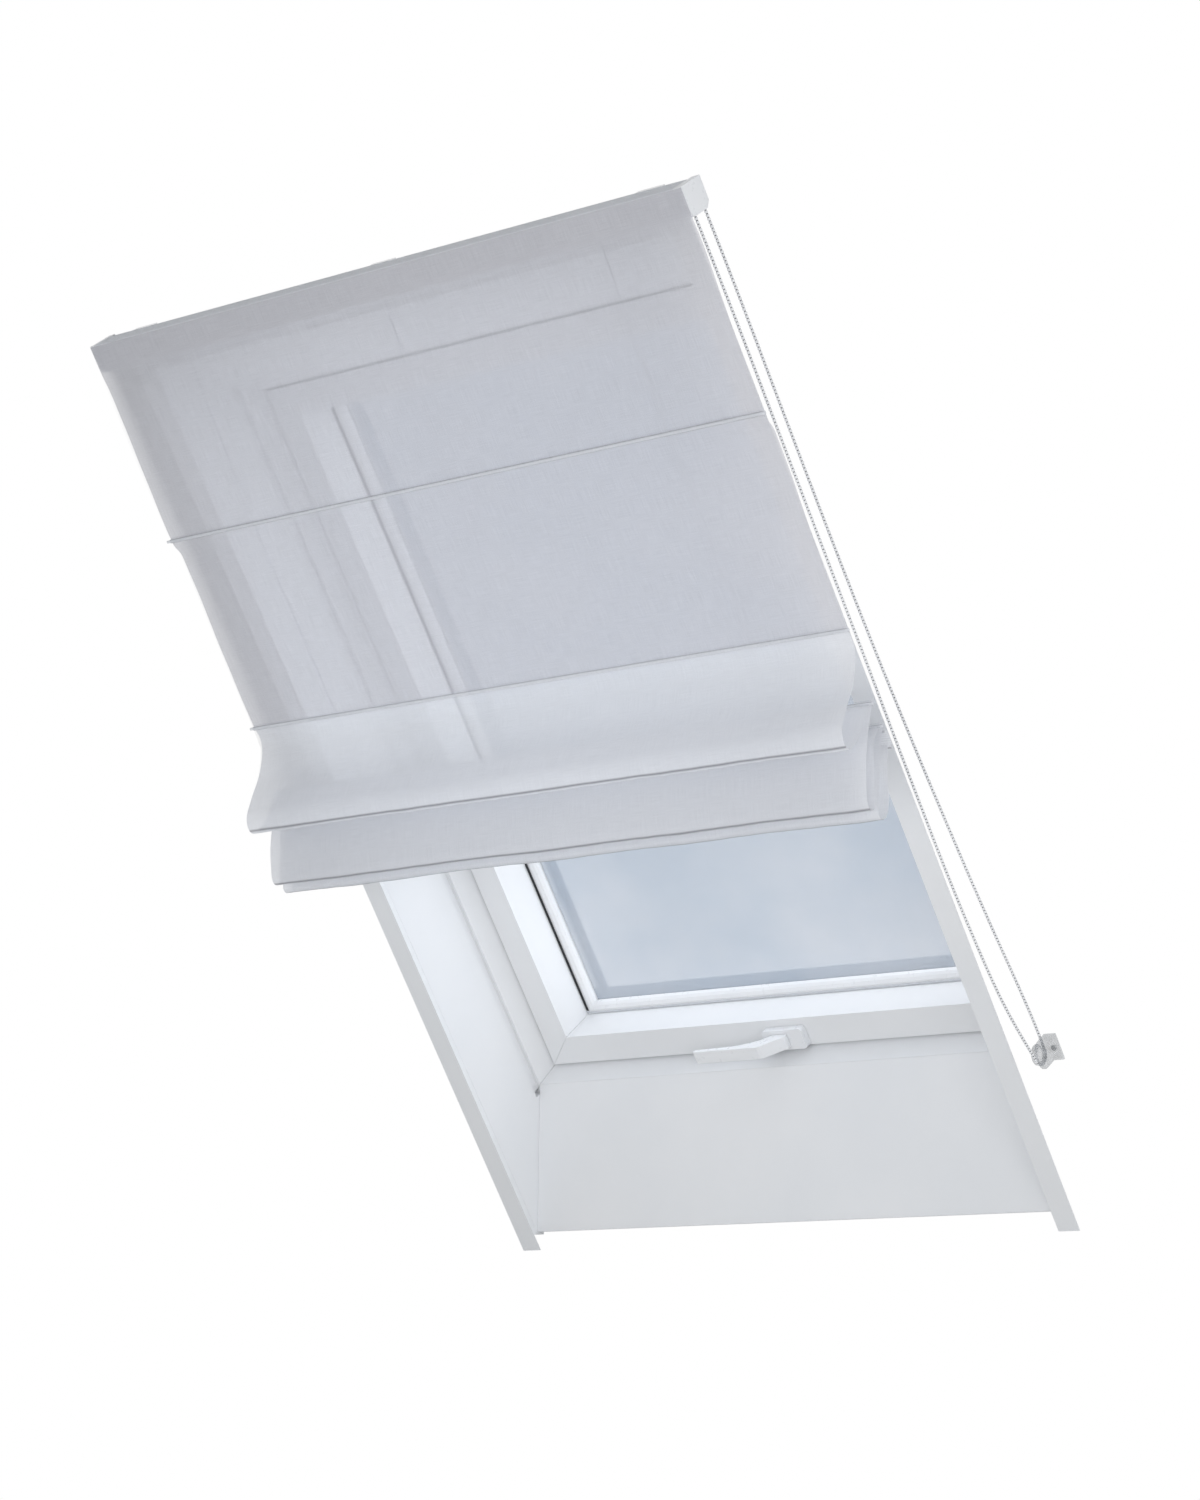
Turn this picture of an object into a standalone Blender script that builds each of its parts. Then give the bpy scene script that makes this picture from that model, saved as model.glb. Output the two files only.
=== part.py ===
"""Roof window with its reveal lining and a sheer roman blind on a chain drive.

Everything is laid out in the slope frame of the roof: X to the right, DOWN along the slope and
OUT through the roof, away from the room. One empty tilts that frame by the roof pitch, so that +Z
is up in the finished model. The origin is the middle of the headrail's back, on the ceiling plane.
"""

import math

import bmesh
import bpy
from mathutils import Matrix, Vector

MM = 0.001
ROOF_PITCH = math.radians(55.0)
GAP = 0.3 * MM

# Roof window: frame, sash and glass
WINDOW_X = -8 * MM
FRAME_WIDTH = 942 * MM
FRAME_HEIGHT = 1178 * MM
FRAME_LIP = 19 * MM
FRAME_TOP = 114.5 * MM
FRAME_FRONT = 140 * MM
FRAME_BACK = 258 * MM
NOSE_WIDTH = 14 * MM
NOSE_DEPTH = 36 * MM
NOSE_LIP = 3 * MM
FRAME_REBATE = 6 * MM
GROOVE_WALL = 6.6 * MM
GROOVE_DEPTH = 18 * MM
SHADOW_GAP = 16.6 * MM
SHADOW_SETBACK = 6 * MM
SASH_PLAY = 2 * MM
SASH_FACE = 44 * MM
SASH_FRONT = 170 * MM
SASH_DEPTH = 106 * MM
SASH_DRAFT = 5 * MM
REVEAL_DEPTH = 61 * MM
BEAD_WIDTH = 13.6 * MM
BEAD_DEPTH = 16 * MM
GASKET_WIDTH = 2.4 * MM
PANE_THICKNESS = 4 * MM
PANE_SPACING = 16 * MM
SPACER_WIDTH = 9 * MM
COVER_THICKNESS = 2 * MM
COVER_OVERLAP = 18 * MM
FRAME_COVER_SETBACK = 2 * MM

# Reveal lining
LINING_THICKNESS = 12 * MM
TRIM_WIDTH = 33 * MM
TRIM_THICKNESS = 9 * MM
SILL_RUN = 177 * MM
SIDE_OVERHANG = 26.5 * MM

# Sash hinges and handle
HINGE_X = 330 * MM
HINGE_INSET = 8 * MM
HINGE_OUT = 266.5 * MM
BARREL_RADIUS = 5 * MM
PIN_RADIUS = 2.4 * MM
KNUCKLE_LENGTH = 13 * MM
SASH_KNUCKLE = 17.4 * MM
LEAF_WIDTH = 18 * MM
LEAF_THICKNESS = 2 * MM
HANDLE_SHIFT = 7 * MM
HANDLE_EDGE = 16.5 * MM
HANDLE_BASE_WIDTH = 70 * MM
HANDLE_BASE_HEIGHT = 32 * MM
HANDLE_BASE_DEPTH = 12 * MM
LEVER_REACH = 141 * MM
LEVER_WIDTH = 20 * MM
LEVER_STANDOFF = 46 * MM
SPINDLE_RADIUS = 5.6 * MM

# Headrail and lift drive
BLIND_WIDTH = 1026 * MM
RAIL_HEIGHT = 40 * MM
RAIL_DEPTH = 41 * MM
RAIL_WALL = 1.5 * MM
RAIL_LIP_FRONT = 8 * MM
RAIL_LIP_BACK = 7 * MM
BRACKET_THICKNESS = 2.7 * MM
BRACKET_WIDTH = 40 * MM
BRACKET_FOOT = 8.7 * MM
BRACKET_HOOK = 9 * MM
BRACKET_INSET = 73 * MM
IDLE_CAP_LENGTH = 10 * MM
DRIVE_CAP_LENGTH = 12 * MM
CAP_CHAMFER = 8 * MM
CAP_ROUND = 6 * MM
SHAFT_SIDE = 7.6 * MM
SHAFT_OUT = -19 * MM
CORD_INSET = 153 * MM
SPOOL_LENGTH = 44 * MM
SPOOL_RADIUS = 8.5 * MM
SPOOL_FLANGE_RADIUS = 11.5 * MM
SPOOL_FLANGE = 2 * MM
JOURNAL_RADIUS = 6.2 * MM
JOURNAL_LENGTH = 6 * MM
CRADLE_WALL = 3 * MM
CRADLE_BASE = 2 * MM
CRADLE_HEIGHT = 28 * MM
WHEEL_PITCH_RADIUS = 12 * MM
WHEEL_POCKETS = 16
POCKET_EDGE_DEGREES = 128
WHEEL_THICKNESS = 5 * MM
WHEEL_INSET = 5.5 * MM
HUB_RADIUS = 6.5 * MM
HUB_LENGTH = 14 * MM
WHEEL_PIN_RADIUS = 2.6 * MM
HOUSING_BORE = 16.5 * MM
HOUSING_WALL = 2.5 * MM
BEAD_RADIUS = 2.2 * MM
CORD_RADIUS = 0.7 * MM

# Blind: rods, fabric and bottom bar, as (down, out) in the slope frame
ROD_RADIUS = 2 * MM
ROD_TIPS = 4 * MM
ROD_SHIFT = -6 * MM
ROD_1 = (271.5 * MM, -52 * MM)
ROD_2 = (565.6 * MM, -52 * MM)
ROD_3 = (664 * MM, -60 * MM)
ROD_4 = (697 * MM, -57 * MM)
BAR = (716 * MM, -56 * MM)
BAR_WIDTH = 20 * MM
BAR_THICKNESS = 3 * MM
BAR_INSET = 13 * MM
FABRIC_THICKNESS = 0.8 * MM
ROD_TUNNEL = (7 * MM, 5.8 * MM)
HEM_TUNNEL = (26 * MM, 8.6 * MM)
TUNNEL_STEPS = 20
RING_RADIUS = 3.4 * MM
RING_WIRE = 0.9 * MM
RING_STITCH = 0.4 * MM

# Bellies of the three gathered folds, from the rod above to the rod below
FOLD_1_BELLY = (
    (580, -50), (595, -54), (609, -64), (623, -78), (634, -93), (642, -107), (651, -121),
    (661, -135), (673, -142), (684, -142), (690, -135), (688, -117), (681, -99), (670, -82),
    (665, -71),
)
FOLD_2_BELLY = (
    (673, -70), (689, -88), (706, -105), (726, -121), (747, -134), (760, -141), (770, -141),
    (773, -133), (756, -119), (726, -99), (705, -82), (698, -68),
)
FOLD_3_BELLY = (
    (707, -65), (730, -87), (755, -108), (775, -123), (785, -129), (792, -126), (793, -117),
    (786, -106), (776, -97), (763, -89), (744, -77), (728, -64),
)
FABRIC_TOP_BEND = ((20, -45.2), (60, -46.5), (150, -50))

# Chain tensioner
TENSIONER_SHIFT = 25.5 * MM
TENSIONER_DOWN = 1197 * MM
TENSIONER_OUT = -20 * MM
TENSIONER_HUB = 10.5 * MM
TENSIONER_FLANGE = 14 * MM
TENSIONER_PLATE = 3 * MM
TENSIONER_HEIGHT = 38 * MM
TENSIONER_REACH = 34 * MM
TENSIONER_FOOT = 15 * MM
SCREW_HEAD = 4 * MM
SCREW_SHANK = 1.9 * MM

# The bead chain's two strands between the drive and the tensioner, as (x, down, out), where x
# is counted from the chain wheel
ROOM_STRAND = (
    (0, 15, -31), (0, 28, -31), (1.2, 76, -31.5), (3.5, 180, -34), (6.5, 320, -39),
    (9.8, 470, -44.5), (13, 615, -49.5), (16.3, 765, -55.5), (19.3, 904, -59.5),
    (21.7, 1010, -58.5), (23.5, 1090, -54), (24.8, 1150, -44.5), (25.5, 1180, -36.5),
)
CEILING_STRAND = (
    (25.5, 1180, -6.4), (24.8, 1150, -6.3), (23.5, 1090, -9), (21.7, 1010, -14),
    (19.3, 904, -18.5), (16.3, 765, -22), (13, 615, -23), (9.8, 470, -20.5),
    (6.5, 320, -15.5), (3.5, 180, -10.5), (1.2, 76, -7.6), (0, 28, -7), (0, 15, -7),
)
STRAND_STEPS = 32

# Sizes that follow from the ones above
OPENING_WIDTH = FRAME_WIDTH - 2 * FRAME_LIP
OPENING_TOP = FRAME_TOP + FRAME_LIP
OPENING_BOTTOM = FRAME_TOP + FRAME_HEIGHT - FRAME_LIP
OPENING_LEFT = WINDOW_X - OPENING_WIDTH / 2
OPENING_RIGHT = WINDOW_X + OPENING_WIDTH / 2
SASH_INSET = NOSE_WIDTH + SASH_PLAY
SILL_FRONT = OPENING_BOTTOM + SILL_RUN
SIDE_END = SILL_FRONT + SIDE_OVERHANG
HANDLE_X = WINDOW_X + HANDLE_SHIFT
HANDLE_DOWN = OPENING_BOTTOM - SASH_INSET - HANDLE_EDGE
GLASS_FRONT = SASH_FRONT + REVEAL_DEPTH + 2 * GAP + BEAD_DEPTH + GAP
GLASS_BACK = GLASS_FRONT + 2 * PANE_THICKNESS + PANE_SPACING
GLASS_INSET = SASH_INSET + SASH_FACE + SASH_DRAFT + GAP
SASH_BACK = SASH_FRONT + SASH_DEPTH
RAIL_BACK = -BRACKET_THICKNESS - GAP
RAIL_FRONT = RAIL_BACK - RAIL_DEPTH
RAIL_RIGHT = BLIND_WIDTH / 2 - DRIVE_CAP_LENGTH - GAP
RAIL_LEFT = -BLIND_WIDTH / 2 + IDLE_CAP_LENGTH + GAP
BRACKET_X = (-BLIND_WIDTH / 2 + BRACKET_INSET, 0.0, BLIND_WIDTH / 2 - BRACKET_INSET)
CORD_X = (-BLIND_WIDTH / 2 + CORD_INSET, 0.0, BLIND_WIDTH / 2 - CORD_INSET)
WHEEL_X = BLIND_WIDTH / 2 - WHEEL_INSET
ROD_LENGTH = BLIND_WIDTH + ROD_TIPS
BAR_LENGTH = BLIND_WIDTH - 2 * BAR_INSET
TENSIONER_X = WHEEL_X + TENSIONER_SHIFT
HEAD_SLOPE = math.cos(ROOF_PITCH) / math.sin(ROOF_PITCH)
LINING_FRONT = TRIM_THICKNESS + GAP
PLUMB = (OPENING_BOTTOM - SILL_FRONT) / (FRAME_FRONT - LINING_FRONT)
TRIM_TOP = BRACKET_FOOT + GAP

finishes = {}


def clear_scene():
    for thing in list(bpy.data.objects):
        bpy.data.objects.remove(thing, do_unlink=True)


def make_collections():
    """The parts are in one collection and the shapes that only cut are in another."""
    parts = bpy.data.collections.new("roof_window_blind")
    cutters = bpy.data.collections.new("cutters")
    for group in (parts, cutters):
        bpy.context.scene.collection.children.link(group)
    cutters.hide_render = True
    return parts, cutters


def make_slope(parts):
    """An empty whose Y runs down the roof and whose Z points out through it."""
    slope = bpy.data.objects.new("roof_slope", None)
    slope.rotation_euler.x = -ROOF_PITCH
    parts.objects.link(slope)
    return slope


def finish(name, color, roughness, metallic=0.0, alpha=1.0):
    if name not in finishes:
        made = bpy.data.materials.new(name)
        made.use_nodes = True
        shader = made.node_tree.nodes["Principled BSDF"]
        shader.inputs["Base Color"].default_value = (*color, 1.0)
        shader.inputs["Roughness"].default_value = roughness
        shader.inputs["Metallic"].default_value = metallic
        shader.inputs["Alpha"].default_value = alpha
        finishes[name] = made
    return finishes[name]


def white_lacquer():
    return finish("white_lacquer", (0.86, 0.87, 0.88), 0.4)


def white_plastic():
    return finish("white_plastic", (0.88, 0.89, 0.90), 0.3)


def sheer_fabric():
    return finish("sheer_fabric", (0.62, 0.64, 0.69), 0.9)


def dark_rubber():
    return finish("dark_rubber", (0.03, 0.03, 0.03), 0.7)


def cover_metal():
    return finish("cover_metal", (0.10, 0.11, 0.12), 0.45, 0.6)


def white_metal():
    return finish("white_metal", (0.85, 0.86, 0.87), 0.35, 0.1)


def bright_steel():
    return finish("bright_steel", (0.70, 0.70, 0.71), 0.3, 1.0)


def clear_glass():
    return finish("clear_glass", (0.72, 0.78, 0.84), 0.03, 0.0, 0.4)


def clear_plastic():
    return finish("clear_plastic", (0.80, 0.83, 0.86), 0.1, 0.0, 0.6)


def add(name, data, material, group, spot=(0, 0, 0), turn=(0, 0, 0), parent=None):
    """A new object in its group, placed in the slope frame."""
    made = bpy.data.objects.new(name, data)
    if material is not None:
        data.materials.append(material)
    made.location = spot
    made.rotation_euler = turn
    made.parent = slope if parent is None else parent
    group.objects.link(made)
    if group is cutters:
        made.hide_render = True
        made.display_type = "WIRE"
    return made


def mesh_of(maker):
    """Mesh data from a function that fills a bmesh, with its faces turned outwards."""
    data = bpy.data.meshes.new("shape")
    shape = bmesh.new()
    maker(shape)
    face_outwards(shape)
    shape.to_mesh(data)
    shape.free()
    return data


def face_outwards(shape):
    bmesh.ops.recalc_face_normals(shape, faces=shape.faces)
    if shape.calc_volume(signed=True) < 0:
        bmesh.ops.reverse_faces(shape, faces=shape.faces)


def box(name, low, high, material, group=None):
    """A box between two corners in the slope frame."""
    low, high = Vector(low), Vector(high)

    def fill(shape):
        bmesh.ops.create_cube(shape, size=1.0)
        bmesh.ops.scale(shape, vec=high - low, verts=shape.verts)

    return add(name, mesh_of(fill), material, group or parts, (low + high) / 2)


TURNS = {
    "x": (math.pi / 2, 0, math.pi / 2),
    "down": (math.pi / 2, 0, 0),
    "out": (0, 0, 0),
}


def extruded(name, outline, span, along, material, holes=(), group=None):
    """A flat outline pushed along one axis of the slope frame, from span[0] to span[1].

    The outline holds (down, out) pairs along x, (x, out) pairs along down and (x, down) pairs
    along out. The curve becomes a mesh with its caps welded, so that it can be cut.
    """
    curve = bpy.data.curves.new(name + "_outline", "CURVE")
    curve.dimensions = "2D"
    curve.fill_mode = "BOTH"
    curve.extrude = (span[1] - span[0]) / 2
    for loop in (outline, *holes):
        spline = curve.splines.new("POLY")
        spline.points.add(len(loop) - 1)
        for point, (first, second) in zip(spline.points, loop):
            point.co = (first, second, 0, 1)
        spline.use_cyclic_u = True
    middle = (span[0] + span[1]) / 2
    spot = {"x": (middle, 0, 0), "down": (0, middle, 0), "out": (0, 0, middle)}[along]
    return as_mesh(add(name, curve, material, group or parts, spot, TURNS[along]))


def as_mesh(made):
    """The evaluated shape of a curve as a mesh object in the same place."""
    name, group, parent = made.name, made.users_collection[0], made.parent
    spot, turn = made.location.copy(), made.rotation_euler.copy()
    bpy.context.view_layer.update()
    ready = made.evaluated_get(bpy.context.evaluated_depsgraph_get())
    data = bpy.data.meshes.new_from_object(ready)
    bpy.data.objects.remove(made, do_unlink=True)
    shape = bmesh.new()
    shape.from_mesh(data)
    bmesh.ops.remove_doubles(shape, verts=shape.verts, dist=1e-6)
    face_outwards(shape)
    shape.to_mesh(data)
    shape.free()
    return add(name, data, None, group, spot, turn, parent)


def cylinder(name, radius, span, down, out, material, group=None, sides=24):
    """A round bar along x between span[0] and span[1]."""
    length = span[1] - span[0]

    def fill(shape):
        bmesh.ops.create_cone(
            shape, cap_ends=True, segments=sides, radius1=radius, radius2=radius, depth=length
        )

    turn = (0, math.pi / 2, 0)
    made = add(name, mesh_of(fill), material, group or parts, ((span[0] + span[1]) / 2, down, out), turn)
    shade_round(made)
    return made


def stud(name, radius, spot, span, material, group=None, sides=24):
    """A round bar along out, at (x, down), between span[0] and span[1]."""
    length = span[1] - span[0]

    def fill(shape):
        bmesh.ops.create_cone(
            shape, cap_ends=True, segments=sides, radius1=radius, radius2=radius, depth=length
        )

    made = add(name, mesh_of(fill), material, group or parts, (*spot, (span[0] + span[1]) / 2))
    shade_round(made)
    return made


def shade_round(made):
    made.data.shade_smooth()
    made.data.set_sharp_from_angle(angle=math.radians(35))


def combine(target, other, operation):
    """Cuts other out of target, or joins it to target; other stays as a hidden cutter."""
    change = target.modifiers.new(operation.lower() + "_" + other.name, "BOOLEAN")
    change.operation = operation
    change.solver = "EXACT"
    change.object = other


def cut(target, *others):
    for other in others:
        combine(target, other, "DIFFERENCE")


def join(target, *others):
    for other in others:
        combine(target, other, "UNION")


def rounded(made, width, segments=2):
    """Softens the long edges of a moulded piece."""
    soft = made.modifiers.new("soft_edges", "BEVEL")
    soft.width = width
    soft.segments = segments
    soft.limit_method = "ANGLE"
    soft.angle_limit = math.radians(50)
    return made


def arc(centre, radius, start, end, steps):
    """Points on a circle arc, angles in degrees."""
    found = []
    for step in range(steps + 1):
        angle = math.radians(start + (end - start) * step / steps)
        found.append((centre[0] + radius * math.cos(angle), centre[1] + radius * math.sin(angle)))
    return found


def rounded_rectangle(low, high, radius, steps=4):
    corners = (
        ((high[0] - radius, high[1] - radius), 0),
        ((low[0] + radius, high[1] - radius), 90),
        ((low[0] + radius, low[1] + radius), 180),
        ((high[0] - radius, low[1] + radius), 270),
    )
    found = []
    for centre, start in corners:
        found += arc(centre, radius, start, start + 90, steps)
    return found


def side_place(side, inset, along):
    """(x, down) of a point at an inset from one side of the window opening."""
    if side == "left":
        return OPENING_LEFT + inset, along
    if side == "right":
        return OPENING_RIGHT - inset, along
    if side == "head":
        return along, OPENING_TOP + inset
    return along, OPENING_BOTTOM - inset


def mitred_member(name, side, section, material):
    """One side of the window: a section of (inset, out) points swept along it and mitred."""
    low, high = (OPENING_TOP, OPENING_BOTTOM) if side in ("left", "right") else (OPENING_LEFT, OPENING_RIGHT)
    mitre_gap = GAP * 0.75

    def fill(shape):
        start = []
        for inset, out in section:
            x, down = side_place(side, inset, low + inset + mitre_gap)
            start.append(shape.verts.new((x, down, out)))
        face = shape.faces.new(start)
        moved = bmesh.ops.extrude_face_region(shape, geom=[face])["geom"]
        far = [part for part in moved if isinstance(part, bmesh.types.BMVert)]
        for vert in far:
            run = 1 if side in ("left", "right") else 0
            inset = vert.co[run] - low - mitre_gap
            vert.co[run] = high - inset - mitre_gap

    return add(name, mesh_of(fill), material, parts)


def ring_member(name, section, material):
    """A section of (inset, out) points swept all round the window, as one mitred ring."""

    def fill(shape):
        corners = []
        for horizontal, vertical in ((-1, -1), (1, -1), (1, 1), (-1, 1)):
            loop = []
            for inset, out in section:
                x = OPENING_LEFT + inset if horizontal < 0 else OPENING_RIGHT - inset
                down = OPENING_TOP + inset if vertical < 0 else OPENING_BOTTOM - inset
                loop.append(shape.verts.new((x, down, out)))
            corners.append(loop)
        count = len(section)
        for index, loop in enumerate(corners):
            following = corners[(index + 1) % 4]
            for point in range(count):
                after = (point + 1) % count
                shape.faces.new((loop[point], loop[after], following[after], following[point]))

    return add(name, mesh_of(fill), material, parts)


def jamb_section():
    return [
        (-FRAME_LIP, FRAME_FRONT - SHADOW_GAP - GROOVE_DEPTH),
        (-FRAME_LIP + GROOVE_WALL, FRAME_FRONT - SHADOW_GAP - GROOVE_DEPTH),
        (-FRAME_LIP + GROOVE_WALL, FRAME_FRONT - SHADOW_GAP),
        (-SHADOW_SETBACK, FRAME_FRONT - SHADOW_GAP),
        (-SHADOW_SETBACK, FRAME_FRONT),
        *nose_section(),
    ]


def nose_section():
    """The front nose of the frame, its rebate behind the sash edge, and its back."""
    return [
        (0, FRAME_FRONT),
        (NOSE_WIDTH, FRAME_FRONT + NOSE_DEPTH),
        (NOSE_WIDTH, FRAME_FRONT + NOSE_DEPTH + NOSE_LIP),
        (NOSE_WIDTH - FRAME_REBATE, FRAME_FRONT + NOSE_DEPTH + 2 * NOSE_LIP),
        (NOSE_WIDTH - FRAME_REBATE, FRAME_BACK),
        (-FRAME_LIP, FRAME_BACK),
    ]


def build_frame():
    for side in ("left", "right"):
        mitred_member("frame_" + side, side, jamb_section(), white_lacquer())
    for side in ("head", "sill"):
        section = [(-FRAME_LIP, FRAME_FRONT), *nose_section()]
        mitred_member("frame_" + side, side, section, white_lacquer())
    low = FRAME_BACK + GAP
    inner = NOSE_WIDTH - FRAME_REBATE - FRAME_COVER_SETBACK
    cover = [
        (-FRAME_LIP, low),
        (inner, low),
        (inner, low + COVER_THICKNESS),
        (-FRAME_LIP, low + COVER_THICKNESS),
    ]
    ring_member("frame_cover", cover, cover_metal())


def build_sash():
    rebate = SASH_FRONT + REVEAL_DEPTH
    inner = SASH_INSET + SASH_FACE
    section = [
        (SASH_INSET, SASH_FRONT),
        (inner, SASH_FRONT),
        (inner + SASH_DRAFT, rebate),
        (inner + SASH_DRAFT, SASH_BACK),
        (SASH_INSET, SASH_BACK),
    ]
    for side in ("left", "right", "head", "sill"):
        mitred_member("sash_" + side, side, section, white_lacquer())
    build_glazing(inner + SASH_DRAFT, rebate)
    low = SASH_BACK + GAP
    step = GLASS_INSET + COVER_THICKNESS
    lip = GLASS_BACK + GAP
    cover = [
        (SASH_INSET, low),
        (step, low),
        (step, lip),
        (step + COVER_OVERLAP, lip),
        (step + COVER_OVERLAP, lip + COVER_THICKNESS),
        (step + COVER_THICKNESS, lip + COVER_THICKNESS),
        (step + COVER_THICKNESS, low + COVER_THICKNESS),
        (SASH_INSET, low + COVER_THICKNESS),
    ]
    ring_member("sash_cover", cover, cover_metal())


def build_glazing(inner, rebate):
    """Two panes on their spacer, the glazing bead with its round front, and the dark gasket line."""
    edge = inner + GAP
    front = rebate + 2 * GAP
    back = front + BEAD_DEPTH
    bead = [
        (edge, front),
        *arc((edge, front + BEAD_WIDTH), BEAD_WIDTH, -90, 0, 4)[1:],
        (edge + BEAD_WIDTH, back),
        (edge, back),
    ]
    ring_member("glazing_bead", bead, white_plastic())
    gasket_back = front - GAP
    gasket_front = gasket_back - GASKET_WIDTH
    gasket = [
        (edge, gasket_front),
        (edge + GASKET_WIDTH, gasket_front),
        (edge + GASKET_WIDTH, gasket_back),
        (edge, gasket_back),
    ]
    ring_member("glazing_gasket", gasket, dark_rubber())
    for name, low in (("glass_inner", GLASS_FRONT), ("glass_outer", GLASS_BACK - PANE_THICKNESS)):
        box(
            name,
            (OPENING_LEFT + GLASS_INSET, OPENING_TOP + GLASS_INSET, low),
            (OPENING_RIGHT - GLASS_INSET, OPENING_BOTTOM - GLASS_INSET, low + PANE_THICKNESS),
            clear_glass(),
        )
    spacer_front = GLASS_FRONT + PANE_THICKNESS + GAP
    spacer_back = GLASS_BACK - PANE_THICKNESS - GAP
    spacer = [
        (GLASS_INSET + GAP, spacer_front),
        (GLASS_INSET + SPACER_WIDTH, spacer_front),
        (GLASS_INSET + SPACER_WIDTH, spacer_back),
        (GLASS_INSET + GAP, spacer_back),
    ]
    ring_member("glass_spacer", spacer, bright_steel())


def build_hinges():
    """Two butt hinges at the head of the sash, each with two frame knuckles and one sash knuckle."""
    down = OPENING_TOP + HINGE_INSET
    half = SASH_KNUCKLE / 2
    cover_top = FRAME_BACK + COVER_THICKNESS + 2 * GAP
    leaf_top = SASH_BACK + COVER_THICKNESS + 2 * GAP
    for side, sign in (("left", -1), ("right", 1)):
        x = WINDOW_X + sign * HINGE_X
        outer = half + GAP + KNUCKLE_LENGTH
        frame_leaf = box(
            "hinge_frame_leaf_" + side,
            (x - outer, down - BARREL_RADIUS - LEAF_WIDTH, cover_top),
            (x + outer, down - BARREL_RADIUS * 0.5, cover_top + LEAF_THICKNESS),
            white_metal(),
        )
        for index, low in enumerate((x - outer, x + half + GAP)):
            span = (low, low + KNUCKLE_LENGTH)
            knuckle = cylinder(
                f"frame_knuckle_{side}_{index}", BARREL_RADIUS, span, down, HINGE_OUT, None, cutters
            )
            join(frame_leaf, knuckle)
        clear = box(
            "knuckle_room_" + side,
            (x - half - GAP, down - BARREL_RADIUS - GAP, cover_top - GAP),
            (x + half + GAP, down + BARREL_RADIUS + GAP, HINGE_OUT + BARREL_RADIUS + GAP),
            None,
            cutters,
        )
        bore = cylinder(
            "hinge_bore_" + side, PIN_RADIUS + GAP, (x - outer - GAP, x + outer + GAP), down, HINGE_OUT,
            None, cutters,
        )
        cut(frame_leaf, clear, bore)
        sash_leaf = box(
            "hinge_sash_leaf_" + side,
            (x - half, OPENING_TOP + SASH_INSET - 5 * GAP - BARREL_RADIUS, leaf_top),
            (x + half, OPENING_TOP + SASH_INSET + LEAF_WIDTH, leaf_top + LEAF_THICKNESS),
            white_metal(),
        )
        arm = box(
            "hinge_arm_" + side,
            (x - half, down + 2 * GAP, HINGE_OUT),
            (x + half, OPENING_TOP + SASH_INSET - 2 * GAP, leaf_top + LEAF_THICKNESS / 2),
            None,
            cutters,
        )
        barrel = cylinder(
            "sash_barrel_" + side, BARREL_RADIUS, (x - half, x + half), down, HINGE_OUT, None, cutters
        )
        join(sash_leaf, arm, barrel)
        cut(sash_leaf, bore)
        pin = cylinder(
            "hinge_pin_" + side, PIN_RADIUS, (x - outer - GAP, x + outer + 2 * GAP), down, HINGE_OUT,
            bright_steel(),
        )
        head = cylinder(
            "hinge_pin_head_" + side, PIN_RADIUS * 1.5, (x + outer + GAP, x + outer + 5 * GAP), down,
            HINGE_OUT, None, cutters,
        )
        join(pin, head)


def build_handle():
    """Lever handle on the sash's lower rail: a shallow base, and a lever that thickens to its hub."""
    base_front = SASH_FRONT - GAP - HANDLE_BASE_DEPTH
    low = (HANDLE_X - HANDLE_BASE_WIDTH / 2, HANDLE_DOWN - HANDLE_BASE_HEIGHT / 2)
    high = (HANDLE_X + HANDLE_BASE_WIDTH / 2, HANDLE_DOWN + HANDLE_BASE_HEIGHT / 2)
    base = extruded(
        "handle_base", rounded_rectangle(low, high, 5 * MM), (base_front, SASH_FRONT - GAP), "out",
        white_plastic(),
    )
    spot = (HANDLE_X, HANDLE_DOWN)
    socket = stud(
        "handle_socket", SPINDLE_RADIUS + GAP, spot, (base_front - GAP, SASH_FRONT - 4 * GAP), None, cutters
    )
    cut(base, socket)
    front = SASH_FRONT - LEVER_STANDOFF
    back = base_front - GAP
    tip = HANDLE_X - LEVER_REACH
    outline = [
        (tip, front + 4 * MM),
        (tip + 2 * MM, front),
        (HANDLE_X - 26 * MM, front),
        (HANDLE_X - 22 * MM, front + 2 * MM),
        (HANDLE_X + 9 * MM, back - 8 * MM),
        (HANDLE_X + 9 * MM, back),
        (HANDLE_X - 16 * MM, back),
        (HANDLE_X - 30 * MM, back - 11 * MM),
        (HANDLE_X - 46 * MM, back - 18 * MM),
        (HANDLE_X - 70 * MM, back - 24 * MM),
        (tip + 3 * MM, front + 6 * MM),
    ]
    span = (HANDLE_DOWN - LEVER_WIDTH / 2, HANDLE_DOWN + LEVER_WIDTH / 2)
    lever = rounded(extruded("handle_lever", outline, span, "down", white_plastic()), 1.2 * MM)
    spindle = stud(
        "handle_spindle", SPINDLE_RADIUS, spot, (back - 4 * MM, SASH_FRONT - 6 * GAP), None, cutters
    )
    join(lever, spindle)


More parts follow.
